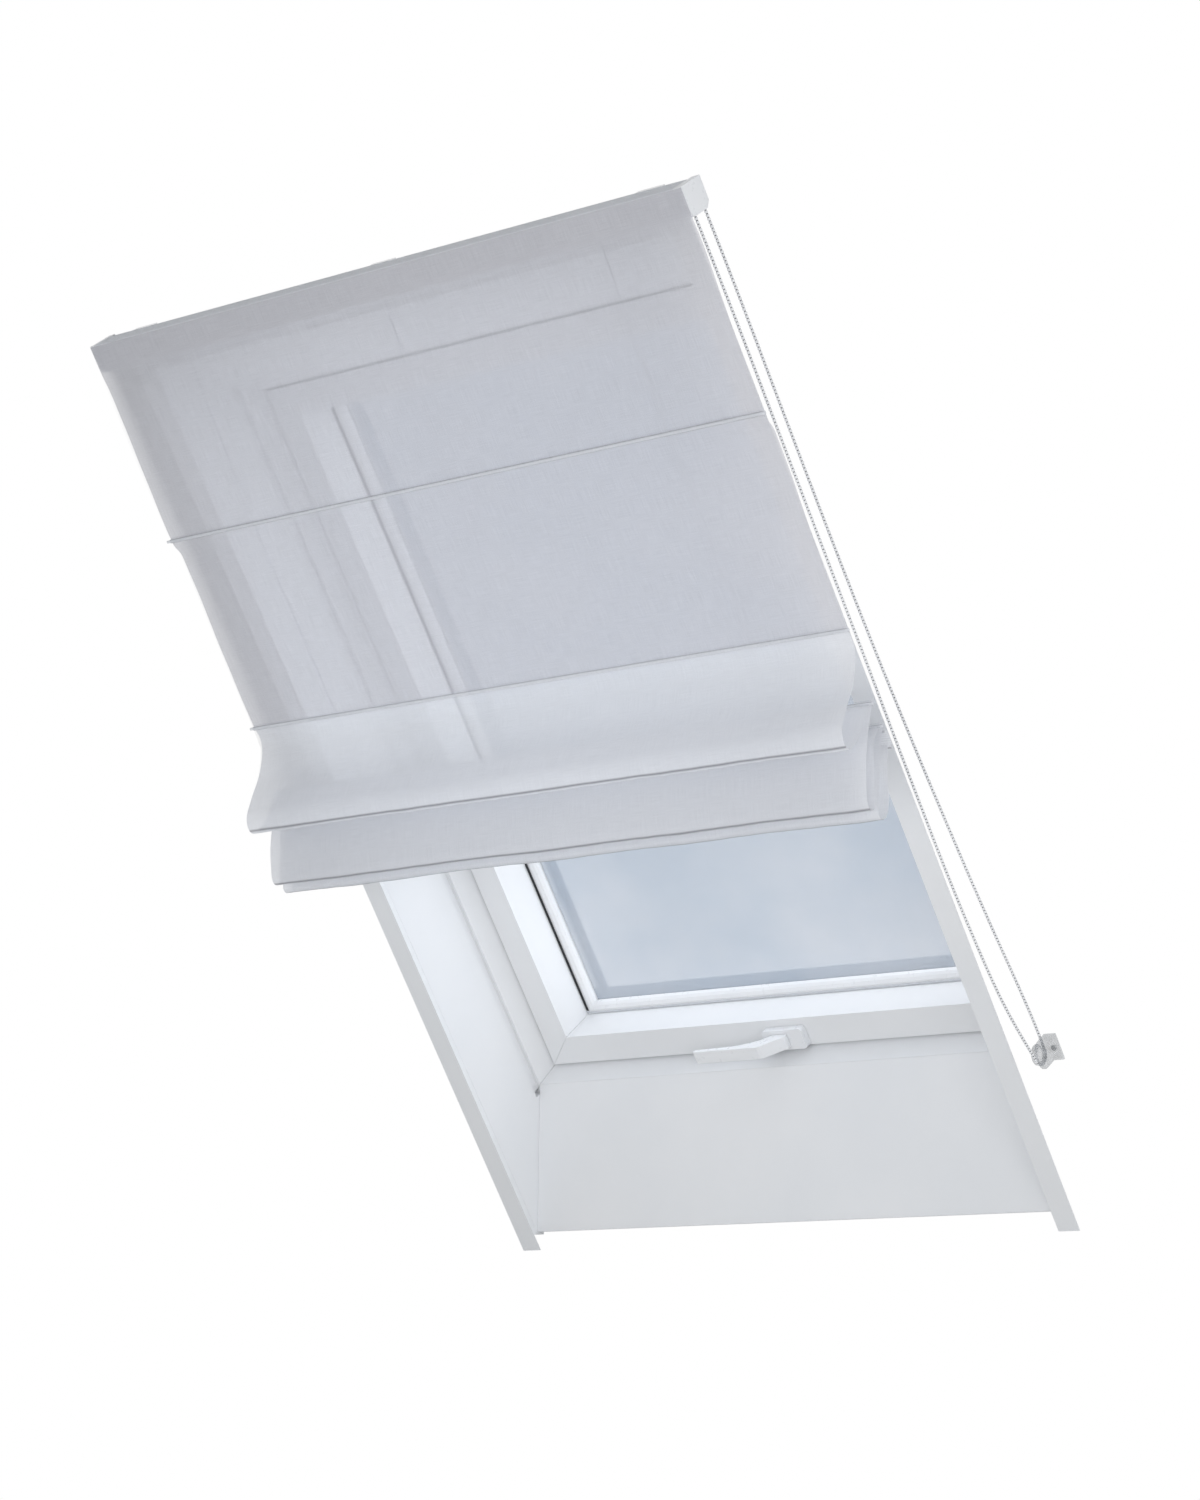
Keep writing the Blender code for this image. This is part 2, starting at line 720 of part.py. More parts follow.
def build_lining():
    """Side boards, a level head board and a plumb sill board, with flat trims on the ceiling plane."""
    back = FRAME_FRONT - SHADOW_GAP - GAP
    depth = FRAME_FRONT - GAP

    def head_line(out):
        return OPENING_TOP - (FRAME_FRONT - out) * HEAD_SLOPE

    def sill_line(out):
        return OPENING_BOTTOM + (out - FRAME_FRONT) * PLUMB

    head_rise = LINING_THICKNESS / math.sin(ROOF_PITCH)
    sill_rise = LINING_THICKNESS * math.hypot(1, PLUMB)
    foot = OPENING_BOTTOM - GROOVE_WALL + FRAME_LIP + GAP
    side = [
        (head_line(LINING_FRONT) - head_rise, LINING_FRONT),
        (head_line(back) - head_rise, back),
        (foot, back),
        (foot, depth),
        (sill_line(depth) + sill_rise, depth),
        (SIDE_END, LINING_FRONT),
    ]
    left, right = OPENING_LEFT, OPENING_RIGHT
    extruded("lining_left", side, (left - LINING_THICKNESS, left), "x", white_lacquer())
    extruded("lining_right", side, (right, right + LINING_THICKNESS), "x", white_lacquer())
    head = [
        (head_line(LINING_FRONT) - head_rise, LINING_FRONT),
        (head_line(LINING_FRONT), LINING_FRONT),
        (head_line(depth), depth),
        (head_line(depth) - head_rise, depth),
    ]
    between = (left + GAP, right - GAP)
    extruded("lining_head", head, between, "x", white_lacquer())
    level = (math.cos(ROOF_PITCH) * LINING_THICKNESS, math.sin(ROOF_PITCH) * LINING_THICKNESS)
    sill = [
        (sill_line(LINING_FRONT), LINING_FRONT),
        (sill_line(LINING_FRONT) + level[0], LINING_FRONT + level[1]),
        (sill_line(depth) + sill_rise, depth),
        (sill_line(depth), depth),
    ]
    extruded("lining_sill", sill, between, "x", white_lacquer())
    trim_foot = TRIM_TOP + TRIM_WIDTH - GAP
    box(
        "trim_head",
        (left - TRIM_WIDTH, TRIM_TOP, 0),
        (right + TRIM_WIDTH, trim_foot, TRIM_THICKNESS),
        white_lacquer(),
    )
    for name, low in (("trim_left", left - TRIM_WIDTH), ("trim_right", right)):
        box(
            name,
            (low, trim_foot + GAP, 0),
            (low + TRIM_WIDTH, SIDE_END, TRIM_THICKNESS),
            white_lacquer(),
        )


def build_headrail():
    """Open channel, hooked in its rebate by three ceiling brackets, and both end caps."""
    half = RAIL_HEIGHT / 2
    wall = RAIL_WALL
    step = BRACKET_THICKNESS + GAP - half
    rebate = -BRACKET_HOOK - GAP
    channel = [
        (half, RAIL_FRONT + RAIL_LIP_FRONT),
        (half, RAIL_FRONT),
        (-half, RAIL_FRONT),
        (-half, rebate),
        (step, rebate),
        (step, RAIL_BACK),
        (half, RAIL_BACK),
        (half, RAIL_BACK - RAIL_LIP_BACK),
        (half - wall, RAIL_BACK - RAIL_LIP_BACK),
        (half - wall, RAIL_BACK - wall),
        (step + wall, RAIL_BACK - wall),
        (step + wall, rebate - wall),
        (wall - half, rebate - wall),
        (wall - half, RAIL_FRONT + wall),
        (half - wall, RAIL_FRONT + wall),
        (half - wall, RAIL_FRONT + RAIL_LIP_FRONT),
    ]
    extruded("headrail", channel, (RAIL_LEFT, RAIL_RIGHT), "x", white_metal())
    bracket = [
        (BRACKET_FOOT, 0),
        (BRACKET_FOOT, -BRACKET_THICKNESS),
        (step - GAP, -BRACKET_THICKNESS),
        (step - GAP, -BRACKET_HOOK),
        (-half, -BRACKET_HOOK),
        (-half, 0),
    ]
    for name, x in zip(("left", "centre", "right"), BRACKET_X):
        span = (x - BRACKET_WIDTH / 2, x + BRACKET_WIDTH / 2)
        extruded("ceiling_bracket_" + name, bracket, span, "x", bright_steel())
    build_end_caps()


def cap_outline():
    """End cap seen along the headrail, chamfered at the ceiling and rounded at the room."""
    half = RAIL_HEIGHT / 2
    front = RAIL_FRONT
    return [
        (-half, front),
        *arc((half - CAP_ROUND, front + CAP_ROUND), CAP_ROUND, -90, 0, 5),
        (half, -CAP_CHAMFER),
        (half - CAP_CHAMFER, 0),
        (-half, 0),
    ]


def build_end_caps():
    end = BLIND_WIDTH / 2
    idle = extruded(
        "end_cap_idle", cap_outline(), (-end, -end + IDLE_CAP_LENGTH), "x", white_plastic()
    )
    bush = cylinder(
        "idle_bush", SHAFT_SIDE / math.sqrt(2) + GAP, (-end + HOUSING_WALL, -end + IDLE_CAP_LENGTH + GAP),
        0, SHAFT_OUT, None, cutters,
    )
    cut(idle, bush)
    inner = end - DRIVE_CAP_LENGTH
    housing = extruded("drive_housing", cap_outline(), (inner, end), "x", white_plastic())
    chamber = cylinder(
        "drive_chamber", HOUSING_BORE, (inner - GAP, end - HOUSING_WALL), 0, SHAFT_OUT, None, cutters, 40
    )
    slots = []
    slot_half = BEAD_RADIUS + 0.5 * MM
    for name, offset in (("room", -WHEEL_PITCH_RADIUS), ("ceiling", WHEEL_PITCH_RADIUS)):
        out = SHAFT_OUT + offset
        slots.append(
            box(
                "chain_slot_" + name,
                (WHEEL_X - slot_half, 0, out - slot_half),
                (WHEEL_X + slot_half, RAIL_HEIGHT, out + slot_half),
                None,
                cutters,
            )
        )
    cut(housing, chamber, *slots)
    pin = cylinder(
        "wheel_pin", WHEEL_PIN_RADIUS, (WHEEL_X - WHEEL_THICKNESS / 2, end - HOUSING_WALL / 2), 0,
        SHAFT_OUT, None, cutters,
    )
    join(housing, pin)


def wheel_outline():
    """Chain wheel seen from its end: round pockets for the beads, with short teeth between."""
    found = []
    step = 360 / WHEEL_POCKETS
    pocket = BEAD_RADIUS + GAP
    for index in range(WHEEL_POCKETS):
        middle = index * step
        centre = (
            WHEEL_PITCH_RADIUS * math.cos(math.radians(middle)),
            SHAFT_OUT + WHEEL_PITCH_RADIUS * math.sin(math.radians(middle)),
        )
        found += arc(centre, pocket, middle - POCKET_EDGE_DEGREES, middle + POCKET_EDGE_DEGREES - 360, 6)
    return found


def turned(name, profile, x, material, group=None, steps=24):
    """A round piece about the drive axis; the profile holds (distance along x, radius) points."""

    def fill(shape):
        verts = [shape.verts.new((radius, 0, along)) for along, radius in reversed(profile)]
        for first, second in zip(verts, verts[1:]):
            shape.edges.new((first, second))

    data = bpy.data.meshes.new(name + "_profile")
    shape = bmesh.new()
    fill(shape)
    shape.to_mesh(data)
    shape.free()
    made = add(name, data, material, group or parts, (x, 0, SHAFT_OUT), (0, math.pi / 2, 0))
    spin = made.modifiers.new("turned", "SCREW")
    spin.axis = "Z"
    spin.steps = steps
    spin.render_steps = steps
    spin.use_merge_vertices = True
    spin.merge_threshold = 1e-6
    spin.use_smooth_shade = False
    return made


def square_bar(name, side, span, material, group=None):
    half = side / 2
    return box(
        name, (span[0], -half, SHAFT_OUT - half), (span[1], half, SHAFT_OUT + half), material, group
    )


def build_drive():
    """Square shaft through three cord spools, each in a cradle, turned by the chain wheel."""
    end = BLIND_WIDTH / 2
    wheel_left = WHEEL_X - WHEEL_THICKNESS / 2
    hub_left = wheel_left - HUB_LENGTH
    shaft_span = (-end + HOUSING_WALL + GAP, wheel_left - 4 * MM)
    square_bar("lift_shaft", SHAFT_SIDE, shaft_span, bright_steel())
    wheel = extruded(
        "chain_wheel", wheel_outline(), (wheel_left, wheel_left + WHEEL_THICKNESS), "x", white_plastic()
    )
    hub = cylinder("wheel_hub", HUB_RADIUS, (hub_left, wheel_left + GAP), 0, SHAFT_OUT, None, cutters)
    socket = square_bar(
        "wheel_socket", SHAFT_SIDE + 2 * GAP, (hub_left - GAP, wheel_left - 3 * MM), None, cutters
    )
    bore = cylinder(
        "wheel_bore", WHEEL_PIN_RADIUS + GAP, (wheel_left - 2 * MM, end), 0, SHAFT_OUT, None, cutters
    )
    join(wheel, hub)
    cut(wheel, socket, bore)
    for name, x in zip(("left", "centre", "right"), CORD_X):
        build_spool(name, x)


def build_spool(name, x):
    half = SPOOL_LENGTH / 2
    tip = half + JOURNAL_LENGTH
    profile = [
        (-tip, 0.0), (-tip, JOURNAL_RADIUS), (-half, JOURNAL_RADIUS), (-half, SPOOL_FLANGE_RADIUS),
        (SPOOL_FLANGE - half, SPOOL_FLANGE_RADIUS), (SPOOL_FLANGE - half, SPOOL_RADIUS),
        (half - SPOOL_FLANGE, SPOOL_RADIUS), (half - SPOOL_FLANGE, SPOOL_FLANGE_RADIUS),
        (half, SPOOL_FLANGE_RADIUS), (half, JOURNAL_RADIUS), (tip, JOURNAL_RADIUS), (tip, 0.0),
    ]
    spool = turned("cord_spool_" + name, profile, x, white_plastic())
    key = square_bar(
        "spool_key_" + name, SHAFT_SIDE + 2 * GAP, (x - tip - GAP, x + tip + GAP), None, cutters
    )
    cut(spool, key)
    base = RAIL_BACK - RAIL_WALL - GAP
    inside = half + GAP
    outside = inside + CRADLE_WALL
    deep = SHAFT_OUT - SPOOL_FLANGE_RADIUS - GAP
    tall = CRADLE_HEIGHT / 2
    cradle = box(
        "spool_cradle_" + name, (x - outside, -tall, deep), (x + outside, tall, base), white_plastic()
    )
    room = box(
        "cradle_room_" + name, (x - inside, -RAIL_HEIGHT, deep - GAP),
        (x + inside, RAIL_HEIGHT, base - CRADLE_BASE), None, cutters,
    )
    bearing = cylinder(
        "cradle_bearing_" + name, JOURNAL_RADIUS + GAP, (x - outside - GAP, x + outside + GAP), 0,
        SHAFT_OUT, None, cutters,
    )
    cut(cradle, room, bearing)


def smooth_path(points, count):
    """Evenly spaced points on a smooth curve through the given ones."""
    dense = []
    for index in range(len(points) - 1):
        before = Vector(points[max(index - 1, 0)])
        first, second = Vector(points[index]), Vector(points[index + 1])
        after = Vector(points[min(index + 2, len(points) - 1)])
        for step in range(12):
            t = step / 12
            dense.append(
                0.5 * (2 * first + (second - before) * t
                       + (2 * before - 5 * first + 4 * second - after) * t * t
                       + (3 * first - before - 3 * second + after) * t ** 3)
            )
    dense.append(Vector(points[-1]))
    lengths = [0.0]
    for first, second in zip(dense, dense[1:]):
        lengths.append(lengths[-1] + (second - first).length)
    found = []
    place = 0
    for index in range(count):
        goal = lengths[-1] * index / (count - 1)
        while place < len(lengths) - 2 and lengths[place + 1] < goal:
            place += 1
        share = (goal - lengths[place]) / max(lengths[place + 1] - lengths[place], 1e-12)
        found.append(dense[place].lerp(dense[place + 1], min(share, 1.0)))
    return found


def ribbon_sides(path):
    """The two faces of a sheet of fabric that follows a path of (down, out) points."""
    near, far = [], []
    for index, point in enumerate(path):
        ahead = path[min(index + 1, len(path) - 1)] - path[max(index - 1, 0)]
        normal = Vector((-ahead.y, ahead.x)).normalized() * FABRIC_THICKNESS / 2
        near.append(tuple(point + normal))
        far.append(tuple(point - normal))
    return near, far


def reach(tunnel, way):
    """The distance from a tunnel's middle to its outer face in one direction."""
    return 1 / math.hypot(2 * way.x / tunnel[0], 2 * way.y / tunnel[1])


def tunnel_outline(centre, tunnel, way):
    """Points round a sewn tunnel, from one face of the sheet that meets it to the other face."""
    half_height, half_depth = tunnel[0] / 2, tunnel[1] / 2
    middle = math.atan2(way.y / half_depth, way.x / half_height)
    spread = math.asin(min(0.9, 0.6 * FABRIC_THICKNESS / reach(tunnel, way)))
    found = []
    for step in range(TUNNEL_STEPS + 1):
        angle = middle - spread - (2 * math.pi - 2 * spread) * step / TUNNEL_STEPS
        found.append((centre[0] + half_height * math.cos(angle), centre[1] + half_depth * math.sin(angle)))
    return found


def cord_ring(name, x, down, out):
    """A small sewn ring whose hole runs down the slope, for the lift cord."""
    data = bpy.data.meshes.new(name)
    shape = bmesh.new()
    wire = bmesh.ops.create_circle(shape, segments=6, radius=RING_WIRE)["verts"]
    bmesh.ops.rotate(shape, verts=wire, cent=(0, 0, 0), matrix=Matrix.Rotation(math.pi / 2, 3, "X"))
    bmesh.ops.translate(shape, verts=wire, vec=(RING_RADIUS, 0, 0))
    bmesh.ops.spin(
        shape, geom=shape.verts[:] + shape.edges[:], cent=(0, 0, 0), axis=(0, 0, 1),
        angle=2 * math.pi, steps=14, use_merge=True,
    )
    bmesh.ops.remove_doubles(shape, verts=shape.verts, dist=1e-6)
    face_outwards(shape)
    shape.to_mesh(data)
    shape.free()
    return add(name, data, None, cutters, (x, down, out), (math.pi / 2, 0, 0))


def ring_out(tunnel):
    """How far the middle of a ring is behind the middle of the tunnel that it is sewn to."""
    return tunnel[1] / 2 + RING_RADIUS + RING_WIRE - RING_STITCH


def to_metres(points):
    return [tuple(value * MM for value in point) for point in points]


def rod_bore(centre):
    return arc(centre, ROD_RADIUS + GAP, 0, 360 - 360 / 14, 13)


def bar_bore(centre):
    down, out = BAR_WIDTH / 2 + GAP, BAR_THICKNESS / 2 + GAP
    corners = ((-down, -out), (down, -out), (down, out), (-down, out))
    return [(centre[0] + first, centre[1] + second) for first, second in corners]


def fabric_span(name, start, middle, centre, count, tunnel, bore):
    """A span of fabric that ends in the tunnel of the rod, or of the bottom bar, below it."""
    half = BLIND_WIDTH / 2
    way = (Vector(middle[-1]) - Vector(centre)).normalized()
    end = tuple(Vector(centre) + way * reach(tunnel, way))
    near, far = ribbon_sides(smooth_path([start, *middle, end], count))
    outline = near[:-1] + tunnel_outline(centre, tunnel, way) + far[-2::-1]
    made = extruded(name, outline, (-half, half), "x", sheer_fabric(), (bore,))
    for index, x in enumerate(CORD_X):
        join(made, cord_ring(f"{name}_ring_{index}", x, centre[0], centre[1] + ring_out(tunnel)))
    return made


def under(rod, toward):
    """The point just clear of a rod's tunnel, on the way to the next point of the fabric."""
    way = (Vector(toward) - Vector(rod)).normalized()
    return tuple(Vector(rod) + way * (reach(ROD_TUNNEL, way) + GAP))


def build_blind():
    """Four rods, the bottom bar, and the fabric in five spans between them."""
    top = (-RAIL_HEIGHT / 2 + FABRIC_THICKNESS, RAIL_FRONT - FABRIC_THICKNESS / 2 - GAP)
    bend = to_metres(FABRIC_TOP_BEND)
    fabric_span("fabric_upper", top, bend, ROD_1, 12, ROD_TUNNEL, rod_bore(ROD_1))
    halfway = ((ROD_1[0] + ROD_2[0]) / 2, (ROD_1[1] + ROD_2[1]) / 2)
    fabric_span("fabric_middle", under(ROD_1, halfway), [halfway], ROD_2, 8, ROD_TUNNEL, rod_bore(ROD_2))
    spans = (
        ("fabric_fold_1", ROD_2, FOLD_1_BELLY, ROD_3, 30, ROD_TUNNEL, rod_bore(ROD_3)),
        ("fabric_fold_2", ROD_3, FOLD_2_BELLY, ROD_4, 26, ROD_TUNNEL, rod_bore(ROD_4)),
        ("fabric_fold_3", ROD_4, FOLD_3_BELLY, BAR, 26, HEM_TUNNEL, bar_bore(BAR)),
    )
    for name, start, belly, end, count, tunnel, bore in spans:
        middle = to_metres(belly)
        fabric_span(name, under(start, middle[0]), middle, end, count, tunnel, bore)
    half = ROD_LENGTH / 2
    for index, (down, out) in enumerate((ROD_1, ROD_2, ROD_3, ROD_4), 1):
        span = (ROD_SHIFT - half, ROD_SHIFT + half)
        cylinder(f"rod_{index}", ROD_RADIUS, span, down, out, white_plastic(), sides=12)
    box(
        "bottom_bar",
        (-BAR_LENGTH / 2, BAR[0] - BAR_WIDTH / 2, BAR[1] - BAR_THICKNESS / 2),
        (BAR_LENGTH / 2, BAR[0] + BAR_WIDTH / 2, BAR[1] + BAR_THICKNESS / 2),
        white_metal(),
    )


def tube(name, points, radius, material):
    """A round cord along a list of points in the slope frame."""
    curve = bpy.data.curves.new(name, "CURVE")
    curve.dimensions = "3D"
    curve.bevel_depth = radius
    curve.bevel_resolution = 2
    curve.use_fill_caps = True
    spline = curve.splines.new("POLY")
    spline.points.add(len(points) - 1)
    for point, place in zip(spline.points, points):
        point.co = (*place, 1)
    return add(name, curve, material, parts)


def build_cords():
    """Three lift cords from their spools through the rings to the bottom bar, and the bead chain."""
    spool_side = SHAFT_OUT - SPOOL_RADIUS - CORD_RADIUS - GAP
    for name, x in zip(("left", "centre", "right"), CORD_X):
        points = [(x, 0.0, spool_side)]
        for down, out in (ROD_1, ROD_2, ROD_3, ROD_4):
            points.append((x, down, out + ring_out(ROD_TUNNEL)))
        points.append((x, BAR[0], BAR[1] + ring_out(HEM_TUNNEL)))
        tube("lift_cord_" + name, points, CORD_RADIUS, white_plastic())
    tube("bead_chain", chain_route(), BEAD_RADIUS, white_plastic())


def chain_route():
    """Down the room side, round the tensioner's hub, and up the ceiling side."""
    radius = TENSIONER_HUB + BEAD_RADIUS + 2 * GAP
    turn = arc((TENSIONER_DOWN, TENSIONER_OUT), radius, -90, 90, 12)
    bend = [Vector((TENSIONER_X, down, out)) for down, out in turn]
    room = smooth_path([*strand(ROOM_STRAND), bend[0]], STRAND_STEPS)
    ceiling = smooth_path([bend[-1], *strand(CEILING_STRAND)], STRAND_STEPS)
    return room + bend[1:-1] + ceiling


def strand(points):
    """A strand's points in metres, with x counted from the chain wheel."""
    return [Vector(point) * MM + Vector((WHEEL_X, 0, 0)) for point in points]


def build_tensioner():
    """Clear clip that holds the chain loop: a foot on the ceiling, a cheek, and a flanged hub."""
    cheek_left = TENSIONER_X + BEAD_RADIUS + 2 * GAP
    cheek_right = cheek_left + TENSIONER_PLATE
    low = TENSIONER_DOWN - TENSIONER_HEIGHT / 2
    high = TENSIONER_DOWN + TENSIONER_HEIGHT / 2
    nose = 12 * MM
    cheek = [
        (low, 0),
        (low, nose - TENSIONER_REACH),
        *arc((low + nose, nose - TENSIONER_REACH), nose, 180, 270, 4),
        *arc((high - nose, nose - TENSIONER_REACH), nose, 270, 360, 4),
        (high, 0),
    ]
    body = extruded("chain_tensioner", cheek, (cheek_left, cheek_right), "x", clear_plastic())
    foot = box(
        "tensioner_foot",
        (cheek_left + GAP, low, -TENSIONER_PLATE),
        (cheek_right + TENSIONER_FOOT, high, 0),
        None,
        cutters,
    )
    hub_left = TENSIONER_X - BEAD_RADIUS - 2 * GAP
    hub = cylinder(
        "tensioner_hub", TENSIONER_HUB, (hub_left - GAP, cheek_left + GAP), TENSIONER_DOWN, TENSIONER_OUT,
        None, cutters,
    )
    flange = cylinder(
        "tensioner_flange", TENSIONER_FLANGE, (hub_left - 2 * MM, hub_left), TENSIONER_DOWN,
        TENSIONER_OUT, None, cutters,
    )
    spot = (cheek_right + TENSIONER_FOOT / 2, TENSIONER_DOWN)
    hole = stud("tensioner_hole", SCREW_SHANK + GAP, spot, (-RAIL_DEPTH, GAP), None, cutters)
    join(body, foot, hub, flange)
    cut(body, hole)
    head_front = -TENSIONER_PLATE - GAP
    screw = stud(
        "tensioner_screw", SCREW_HEAD, spot, (head_front - 2 * MM, head_front), bright_steel()
    )
    shank = stud("screw_shank", SCREW_SHANK, spot, (head_front - MM, -GAP), None, cutters)
    slot = box(
        "screw_slot",
        (spot[0] - 0.5 * MM, spot[1] - SCREW_HEAD, head_front - 3 * MM),
        (spot[0] + 0.5 * MM, spot[1] + SCREW_HEAD, head_front - 1.2 * MM),
        None,
        cutters,
    )
    join(screw, shank)
    cut(screw, slot)


clear_scene()
parts, cutters = make_collections()
slope = make_slope(parts)
build_frame()
build_sash()
build_hinges()
build_handle()
build_lining()
build_headrail()
build_drive()
build_blind()
build_cords()
build_tensioner()
bpy.context.view_layer.update()
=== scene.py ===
"""Looks of the roof window with its sheer roman blind.

Points on the roof are given as (x, down, out) in millimetres: x to the right, down along the slope,
and out through the roof. slope() turns them into the model's own frame, in metres.
"""

import math

import bpy
import numpy as np
from mathutils import Matrix, Vector, noise


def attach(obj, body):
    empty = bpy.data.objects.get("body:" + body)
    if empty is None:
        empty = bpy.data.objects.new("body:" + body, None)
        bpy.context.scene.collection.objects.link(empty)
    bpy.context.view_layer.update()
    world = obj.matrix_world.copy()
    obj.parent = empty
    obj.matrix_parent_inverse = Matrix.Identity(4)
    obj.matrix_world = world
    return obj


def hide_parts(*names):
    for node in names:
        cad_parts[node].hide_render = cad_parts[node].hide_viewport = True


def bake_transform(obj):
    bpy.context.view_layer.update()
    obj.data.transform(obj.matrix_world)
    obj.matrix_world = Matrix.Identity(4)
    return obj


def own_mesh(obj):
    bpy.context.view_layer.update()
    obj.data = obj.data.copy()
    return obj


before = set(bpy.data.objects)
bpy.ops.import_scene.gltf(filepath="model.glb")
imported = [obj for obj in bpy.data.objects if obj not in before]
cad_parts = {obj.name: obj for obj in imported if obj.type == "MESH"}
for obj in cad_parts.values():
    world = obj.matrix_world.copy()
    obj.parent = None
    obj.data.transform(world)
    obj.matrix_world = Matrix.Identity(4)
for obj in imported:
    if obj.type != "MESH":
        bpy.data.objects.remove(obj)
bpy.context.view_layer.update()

MM = 0.001
PITCH = math.radians(55.0)
DOWN = Vector((0, math.cos(PITCH), -math.sin(PITCH)))
OUT = Vector((0, math.sin(PITCH), math.cos(PITCH)))
ACROSS = Vector((1, 0, 0))


def slope(x, down, out):
    return (ACROSS * x + DOWN * down + OUT * out) * MM


# Camera

FOCAL_PIXELS = 3543
PICTURE_HEIGHT = 1500
CAMERA_PLACE = (2.9822, -3.2308, -1.4241)
CAMERA_RIGHT = Vector((0.77472, 0.63230, -0.00240))
CAMERA_UP = Vector((0.11523, -0.13745, 0.98378))


def make_camera():
    data = bpy.data.cameras.new("camera")
    data.sensor_width = 36
    data.lens = FOCAL_PIXELS * data.sensor_width / PICTURE_HEIGHT
    data.clip_end = 100
    camera = bpy.data.objects.new("camera", data)
    back = CAMERA_RIGHT.cross(CAMERA_UP)
    turn = Matrix((CAMERA_RIGHT, CAMERA_UP, back)).transposed()
    camera.matrix_world = Matrix.Translation(CAMERA_PLACE) @ turn.to_4x4()
    bpy.context.scene.collection.objects.link(camera)
    bpy.context.scene.camera = camera


make_camera()


# Mesh building

# steps between two points of a smooth path
CURVE_STEPS = 12


def new_piece(name, verts, faces, material, smooth=True, coordinates=None, crease_shades=None):
    """A mesh object from lists of vertices and faces, with UVs and a painted shade by vertex where given.
    """
    data = bpy.data.meshes.new(name)
    data.from_pydata([tuple(v) for v in verts], [], [tuple(f) for f in faces])
    if smooth:
        data.polygons.foreach_set("use_smooth", [True] * len(data.polygons))
    if coordinates is not None:
        layer = data.uv_layers.new(name="cloth")
        corner_verts = np.empty(len(data.loops), int)
        data.loops.foreach_get("vertex_index", corner_verts)
        layer.data.foreach_set("uv", np.asarray(coordinates, float)[corner_verts].ravel())
    if crease_shades is not None:
        data.attributes.new("crease_shade", "FLOAT", "POINT").data.foreach_set("value", crease_shades)
    data.materials.append(material)
    piece = bpy.data.objects.new(name, data)
    bpy.context.scene.collection.objects.link(piece)
    return piece


def distances(points):
    """How far along a path each of its points is."""
    lengths = [0.0]
    for first, second in zip(points, points[1:]):
        lengths.append(lengths[-1] + (second - first).length)
    return lengths


def path_length(points):
    return distances(points)[-1]


def smooth_path(points, count):
    """A smooth curve through the points, as evenly spaced ones."""
    points = [Vector(point) for point in points]
    padded = [points[0] * 2 - points[1], *points, points[-1] * 2 - points[-2]]
    dense = []
    for index in range(len(points) - 1):
        before, start, end, after = padded[index : index + 4]
        for step in range(CURVE_STEPS):
            t = step / CURVE_STEPS
            dense.append(
                (
                    start * 2
                    + (end - before) * t
                    + (before * 2 - start * 5 + end * 4 - after) * t**2
                    + (start * 3 - before - end * 3 + after) * t**3
                )
                / 2
            )
    dense.append(points[-1])
    lengths = distances(dense)
    found = []
    place = 0
    for index in range(count):
        goal = lengths[-1] * index / (count - 1)
        while place < len(lengths) - 2 and lengths[place + 1] < goal:
            place += 1
        share = (goal - lengths[place]) / max(lengths[place + 1] - lengths[place], 1e-12)
        found.append(dense[place].lerp(dense[place + 1], min(share, 1.0)))
    return found


def tube(points, radius, sides=8):
    """Vertices and faces of a round tube along a path, with closed ends."""
    verts, faces = [], []
    side = None
    for index, point in enumerate(points):
        ahead = (points[min(index + 1, len(points) - 1)] - points[max(index - 1, 0)]).normalized()
        side = ahead.orthogonal() if side is None else side - ahead * side.dot(ahead)
        side.normalize()
        other = ahead.cross(side)
        for step in range(sides):
            angle = 2 * math.pi * step / sides
            verts.append(point + (side * math.cos(angle) + other * math.sin(angle)) * radius)
    for ring in range(len(points) - 1):
        for step in range(sides):
            low, following = ring * sides + step, ring * sides + (step + 1) % sides
            faces.append((low, following, following + sides, low + sides))
    faces.append(tuple(reversed(range(sides))))
    faces.append(tuple(range(len(verts) - sides, len(verts))))
    return verts, faces


def ball(radius, rings=6, sides=10):
    """Vertices and faces of a small ball about the origin."""
    verts = [Vector((0, 0, radius))]
    for ring in range(1, rings):
        tilt = math.pi * ring / rings
        for step in range(sides):
            angle = 2 * math.pi * step / sides
            flat = radius * math.sin(tilt)
            verts.append(Vector((flat * math.cos(angle), flat * math.sin(angle), radius * math.cos(tilt))))
    verts.append(Vector((0, 0, -radius)))
    faces = []
    for step in range(sides):
        after = (step + 1) % sides
        faces.append((0, 1 + step, 1 + after))
        for ring in range(rings - 2):
            low = 1 + ring * sides
            faces.append((low + step, low + sides + step, low + sides + after, low + after))
        low = 1 + (rings - 2) * sides
        faces.append((low + step, len(verts) - 1, low + after))
    return verts, faces


def repeated(shape, places):
    """One shape copied to each place, as one list of vertices and one of faces."""
    verts, faces = shape
    found_verts, found_faces = [], []
    for place in places:
        start = len(found_verts)
        found_verts += [place @ vert for vert in verts]
        found_faces += [tuple(start + index for index in face) for face in faces]
    return found_verts, found_faces


def together(*shapes):
    """Several shapes as one list of vertices and one of faces."""
    verts, faces = [], []
    for some_verts, some_faces in shapes:
        start = len(verts)
        verts += some_verts
        faces += [tuple(start + index for index in face) for face in some_faces]
    return verts, faces


def grid_faces(rows, columns):
    """Faces over rows of vertices, for a number of rows of faces and of vertices in each row."""
    faces = []
    for row in range(rows):
        for column in range(columns - 1):
            corner = row * columns + column
            faces.append((corner, corner + 1, corner + columns + 1, corner + columns))
    return faces


# Materials

